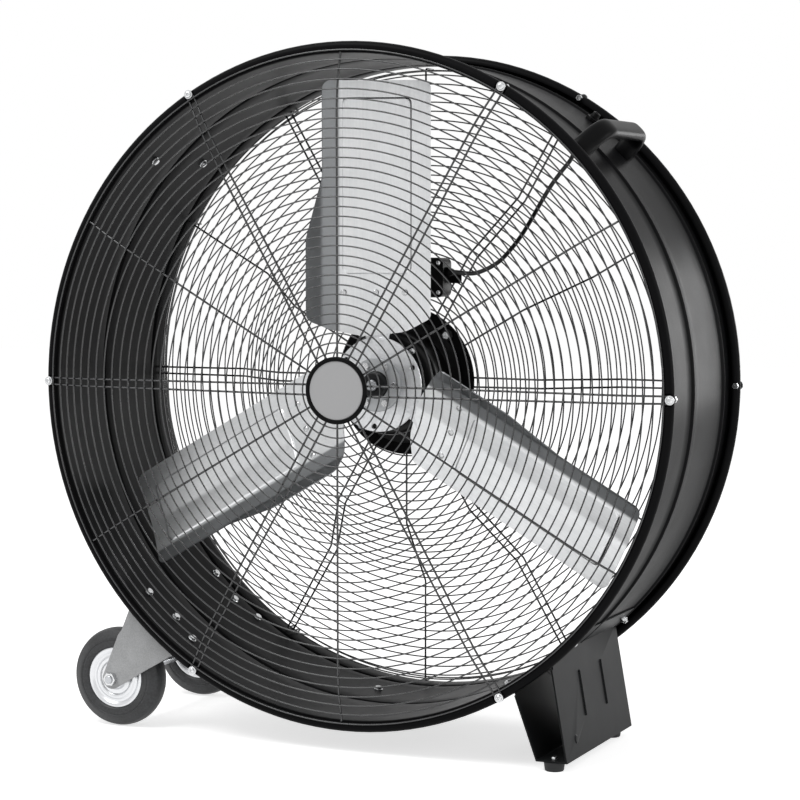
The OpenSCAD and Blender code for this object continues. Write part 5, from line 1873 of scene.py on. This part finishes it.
@dataclass
class Handle:
    """The moulded handle on the drum's upper right side."""

    angle: float = 45.0
    height: float = 51.0
    width: float = 30.0
    grip: float = 18.0
    foot: float = 36.0
    front_z: float = 124.0
    rear_z: float = -96.0
    slope: float = 12.0
    bend_r: float = 30.0
    step: float = 4.0
    sides: int = 40
    squareness: float = 2.8

    def line(self) -> list[Point2]:
        """Gives the middle of the arch as points of height above the drum's wall and of z.

        Returns:
            Points from the front foot to the rear one.
        """
        low, top = 0.1, self.height - self.grip / 2
        front, rear = self.front_z - self.foot / 2, self.rear_z + self.foot / 2
        arch = [(low, front), (top, front - self.slope), (top, rear + self.slope), (low, rear)]
        soft = bent(arch, self.bend_r, 12)
        out = []
        for (h0, z0), (h1, z1) in zip(soft, soft[1:]):
            steps = max(1, round(math.dist((h0, z0), (h1, z1)) / self.step))
            out.extend((h0 + (h1 - h0) * i / steps, z0 + (z1 - z0) * i / steps) for i in range(steps))
        return [*out, soft[-1]]

    def section(self, thick: float) -> list[Point2]:
        """Gives a softly squared ring, as thick and as wide as the arch is there.

        Args:
            thick: The arch's thickness there.

        Returns:
            The ring's points, in metres.
        """
        ring = []
        for k in range(self.sides):
            a = math.tau * k / self.sides
            c, s = math.cos(a), math.sin(a)
            u = math.copysign(abs(c) ** (2 / self.squareness), c) * thick / 2
            v = math.copysign(abs(s) ** (2 / self.squareness), s) * self.width / 2
            ring.append((u * MM, v * MM))
        return ring

    def build(self, shop: Workshop) -> None:
        """Builds the handle.

        Args:
            shop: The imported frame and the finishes.
        """
        line, widening, rise = self.line(), self.foot - self.grip, self.height - self.grip
        rings = [self.section(self.grip + widening * (1 - smoothstep(2, rise, h))) for h, _ in line]
        path = [fan(*polar(SIZES.drum_outer_r + h, self.angle, z)) for h, z in line]
        piece = sweep("grab_handle", path, rings, out_of_fan(polar(1, self.angle + 90, 0)), sharp=50)
        shop.finish(piece, Paintbox.PLASTIC, replaces=["handle"])


@dataclass
class DrumBolts:
    """The bolts through the drum's wall, with their heads inside."""

    plain: tuple[Point2, ...] = ((136, 95), (136, -52), (265, -52))
    bracket: tuple[Point2, ...] = (
        (222.5, 109), (229, 95), (234.5, 109), (222.5, -102), (229, -92), (234.5, -102),
    )
    foot: tuple[Point2, ...] = ((299.8, 113), (299.8, -104), (313.95, 113), (313.95, -104))
    handle: tuple[Point2, ...] = ((45, 104), (45, -76))
    head_gap: float = 0.1
    nut_gap: float = 0.2

    def build(self, shop: Workshop) -> None:
        """Builds each group of bolts, with nuts outside on the stack of sheets that they clamp.

        Args:
            shop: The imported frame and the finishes.
        """
        rack = FastenerRack()
        for node, places, stack in (
            ("wall_bolts", self.plain, 0.0),
            ("wheel_bracket_bolts", self.bracket, 3.0),
            ("foot_bolts", self.foot, 2.5),
            ("handle_bolts", self.handle, None),
        ):
            inner_r = SIZES.drum_inner_r - self.head_gap
            heads = [(fan(*polar(inner_r, a, z)), out_of_fan(polar(-1, a, 0))) for a, z in places]
            piece = rack.place(f"{node}_heads", rack.hex_bolt(), heads)
            shop.finish(piece, Paintbox.ZINC, replaces=[node])
            if stack is not None:
                outer_r = SIZES.drum_outer_r + stack + self.nut_gap
                nuts = [(fan(*polar(outer_r, a, z)), out_of_fan(polar(1, a, 0))) for a, z in places]
                shop.finish(rack.place(f"{node}_nuts", rack.lock_nut(), nuts), Paintbox.ZINC)


# Studio


@dataclass
class Studio:
    """The camera, the floor and the lights."""

    lens: float = 105.14
    sensor: float = 36.0
    clip_end: float = 50.0
    camera_place: Point3 = (1446.5, 232.9, 3161.9)
    right: Point3 = (0.91132, 0.41168, 0.0)
    up: Point3 = (-0.03051, 0.06754, 0.99724)
    ahead: Point3 = (-0.41055, 0.90881, -0.07411)
    floor_half: float = 9.0
    floor_grey: float = 0.86
    floor_glow: float = 0.68
    sky: float = 0.45
    aim: Point3 = (0, 0, 0.5)
    lamps: tuple[tuple[str, Point3, float, float], ...] = (
        ("key_light", (-1.3, -1.6, 3.4), 1.8, 62),
        ("fill_light", (3.2, 0.1, 1.3), 1.4, 24),
        ("wall_light", (1.25, 2.4, 0.75), 1.0, 14),
    )

    def camera(self) -> None:
        """Sets the camera where the photograph was taken from."""
        data = bpy.data.cameras.new("photo_camera")
        data.lens = self.lens
        data.sensor_width = self.sensor
        data.clip_end = self.clip_end
        camera = bpy.data.objects.new("photo_camera", data)
        bpy.context.scene.collection.objects.link(camera)
        axes = [Vector(self.right), Vector(self.up), -Vector(self.ahead)]
        turn = Matrix([[axis[row] for axis in axes] for row in range(3)])
        camera.matrix_world = Matrix.Translation(fan(*self.camera_place)) @ turn.to_4x4()
        bpy.context.scene.camera = camera

    def _mix_seen(self, tree: Tree, unseen: Node, seen: Node) -> Node:
        """Mixes two shaders: one for rays from the camera, a mirror or glass, and one for all others.

        Args:
            tree: The tree.
            unseen: The shader for all other rays.
            seen: The one for those that see it.

        Returns:
            The mixed shader's node.
        """
        path = add(tree, "ShaderNodeLightPath")
        shown = path.outputs["Is Camera Ray"]
        for ray in ("Is Glossy Ray", "Is Transmission Ray"):
            rays = {0: shown, 1: path.outputs[ray]}
            shown = add(tree, "ShaderNodeMath", rays, operation="MAXIMUM").outputs[0]
        return add(tree, "ShaderNodeMixShader", {0: shown, 1: unseen.outputs[0], 2: seen.outputs[0]})

    def floor(self) -> None:
        """Lays a plain pale floor that keeps the fan's shadow."""
        half = self.floor_half
        points = [(-half, -half, 0), (half, -half, 0), (half, half, 0), (-half, half, 0)]
        floor = mesh_piece("studio_floor", points, [(0, 1, 2, 3)])
        # Matt pale paper. It glows in the camera's view, so that it runs into the white background.
        material = bpy.data.materials.new("pale_floor")
        material.use_nodes = True
        tree = material.node_tree
        tree.nodes.clear()
        matt = add(tree, "ShaderNodeBsdfDiffuse", {"Color": (*[self.floor_grey] * 3, 1.0)})
        glow = add(tree, "ShaderNodeEmission", {"Color": (1, 1, 1, 1), "Strength": self.floor_glow})
        none = add(tree, "ShaderNodeEmission", {"Color": (0, 0, 0, 1), "Strength": 0.0})
        shown = self._mix_seen(tree, none, glow)
        both = add(tree, "ShaderNodeAddShader", {0: matt.outputs[0], 1: shown.outputs[0]})
        add(tree, "ShaderNodeOutputMaterial", {"Surface": both.outputs[0]})
        floor.data.materials.append(material)
        floor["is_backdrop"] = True

    def world(self) -> None:
        """Surrounds the fan with a soft grey light behind a white background."""
        world = bpy.data.worlds.new("studio")
        bpy.context.scene.world = world
        world.use_nodes = True
        tree = world.node_tree
        tree.nodes.clear()
        soft = add(tree, "ShaderNodeBackground", {"Color": (1, 1, 1, 1), "Strength": self.sky})
        white = add(tree, "ShaderNodeBackground", {"Color": (1, 1, 1, 1), "Strength": 1.0})
        add(tree, "ShaderNodeOutputWorld", {"Surface": self._mix_seen(tree, soft, white).outputs[0]})

    def lamp(self, name: str, place: Point3, size: float, power: float) -> None:
        """Hangs a square soft light that faces the fan.

        Args:
            name: The lamp's name.
            place: Its place in metres.
            size: Its side.
            power: Its power.
        """
        data = bpy.data.lights.new(name, "AREA")
        data.size = size
        data.energy = power
        lamp = bpy.data.objects.new(name, data)
        lamp.location = place
        towards = Vector(self.aim) - Vector(place)
        lamp.rotation_euler = towards.to_track_quat("-Z", "Y").to_euler()
        bpy.context.scene.collection.objects.link(lamp)

    def build(self) -> None:
        """Builds the studio."""
        self.camera()
        self.world()
        self.floor()
        for lamp in self.lamps:
            self.lamp(*lamp)
        bpy.context.scene.view_settings.view_transform = "Standard"


def corners(low: Vector, high: Vector) -> list[list[float]]:
    """Gives a box's two corners as plain lists."""
    return [[round(v, 5) for v in low], [round(v, 5) for v in high]]


def main() -> None:
    """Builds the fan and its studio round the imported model."""
    logging.basicConfig(level=logging.INFO, format="%(message)s")
    for other in list(bpy.data.objects):
        bpy.data.objects.remove(other)
    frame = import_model()
    solid_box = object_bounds()
    shop = Workshop(frame)
    Studio().build()
    for assembly in (
        Wiring(), Drum(), Grilles(), Badge(), Motor(), Propeller(), Wheels(), Foot(), Handle(), DrumBolts(),
    ):
        LOG.info("-- %s", type(assembly).__name__)
        assembly.build(shop)
    shown_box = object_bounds()
    {"cad": corners(*solid_box), "visual": corners(*shown_box)}
    LOG.info("%d pieces", shop.made)


if __name__ == "__main__":
    main()
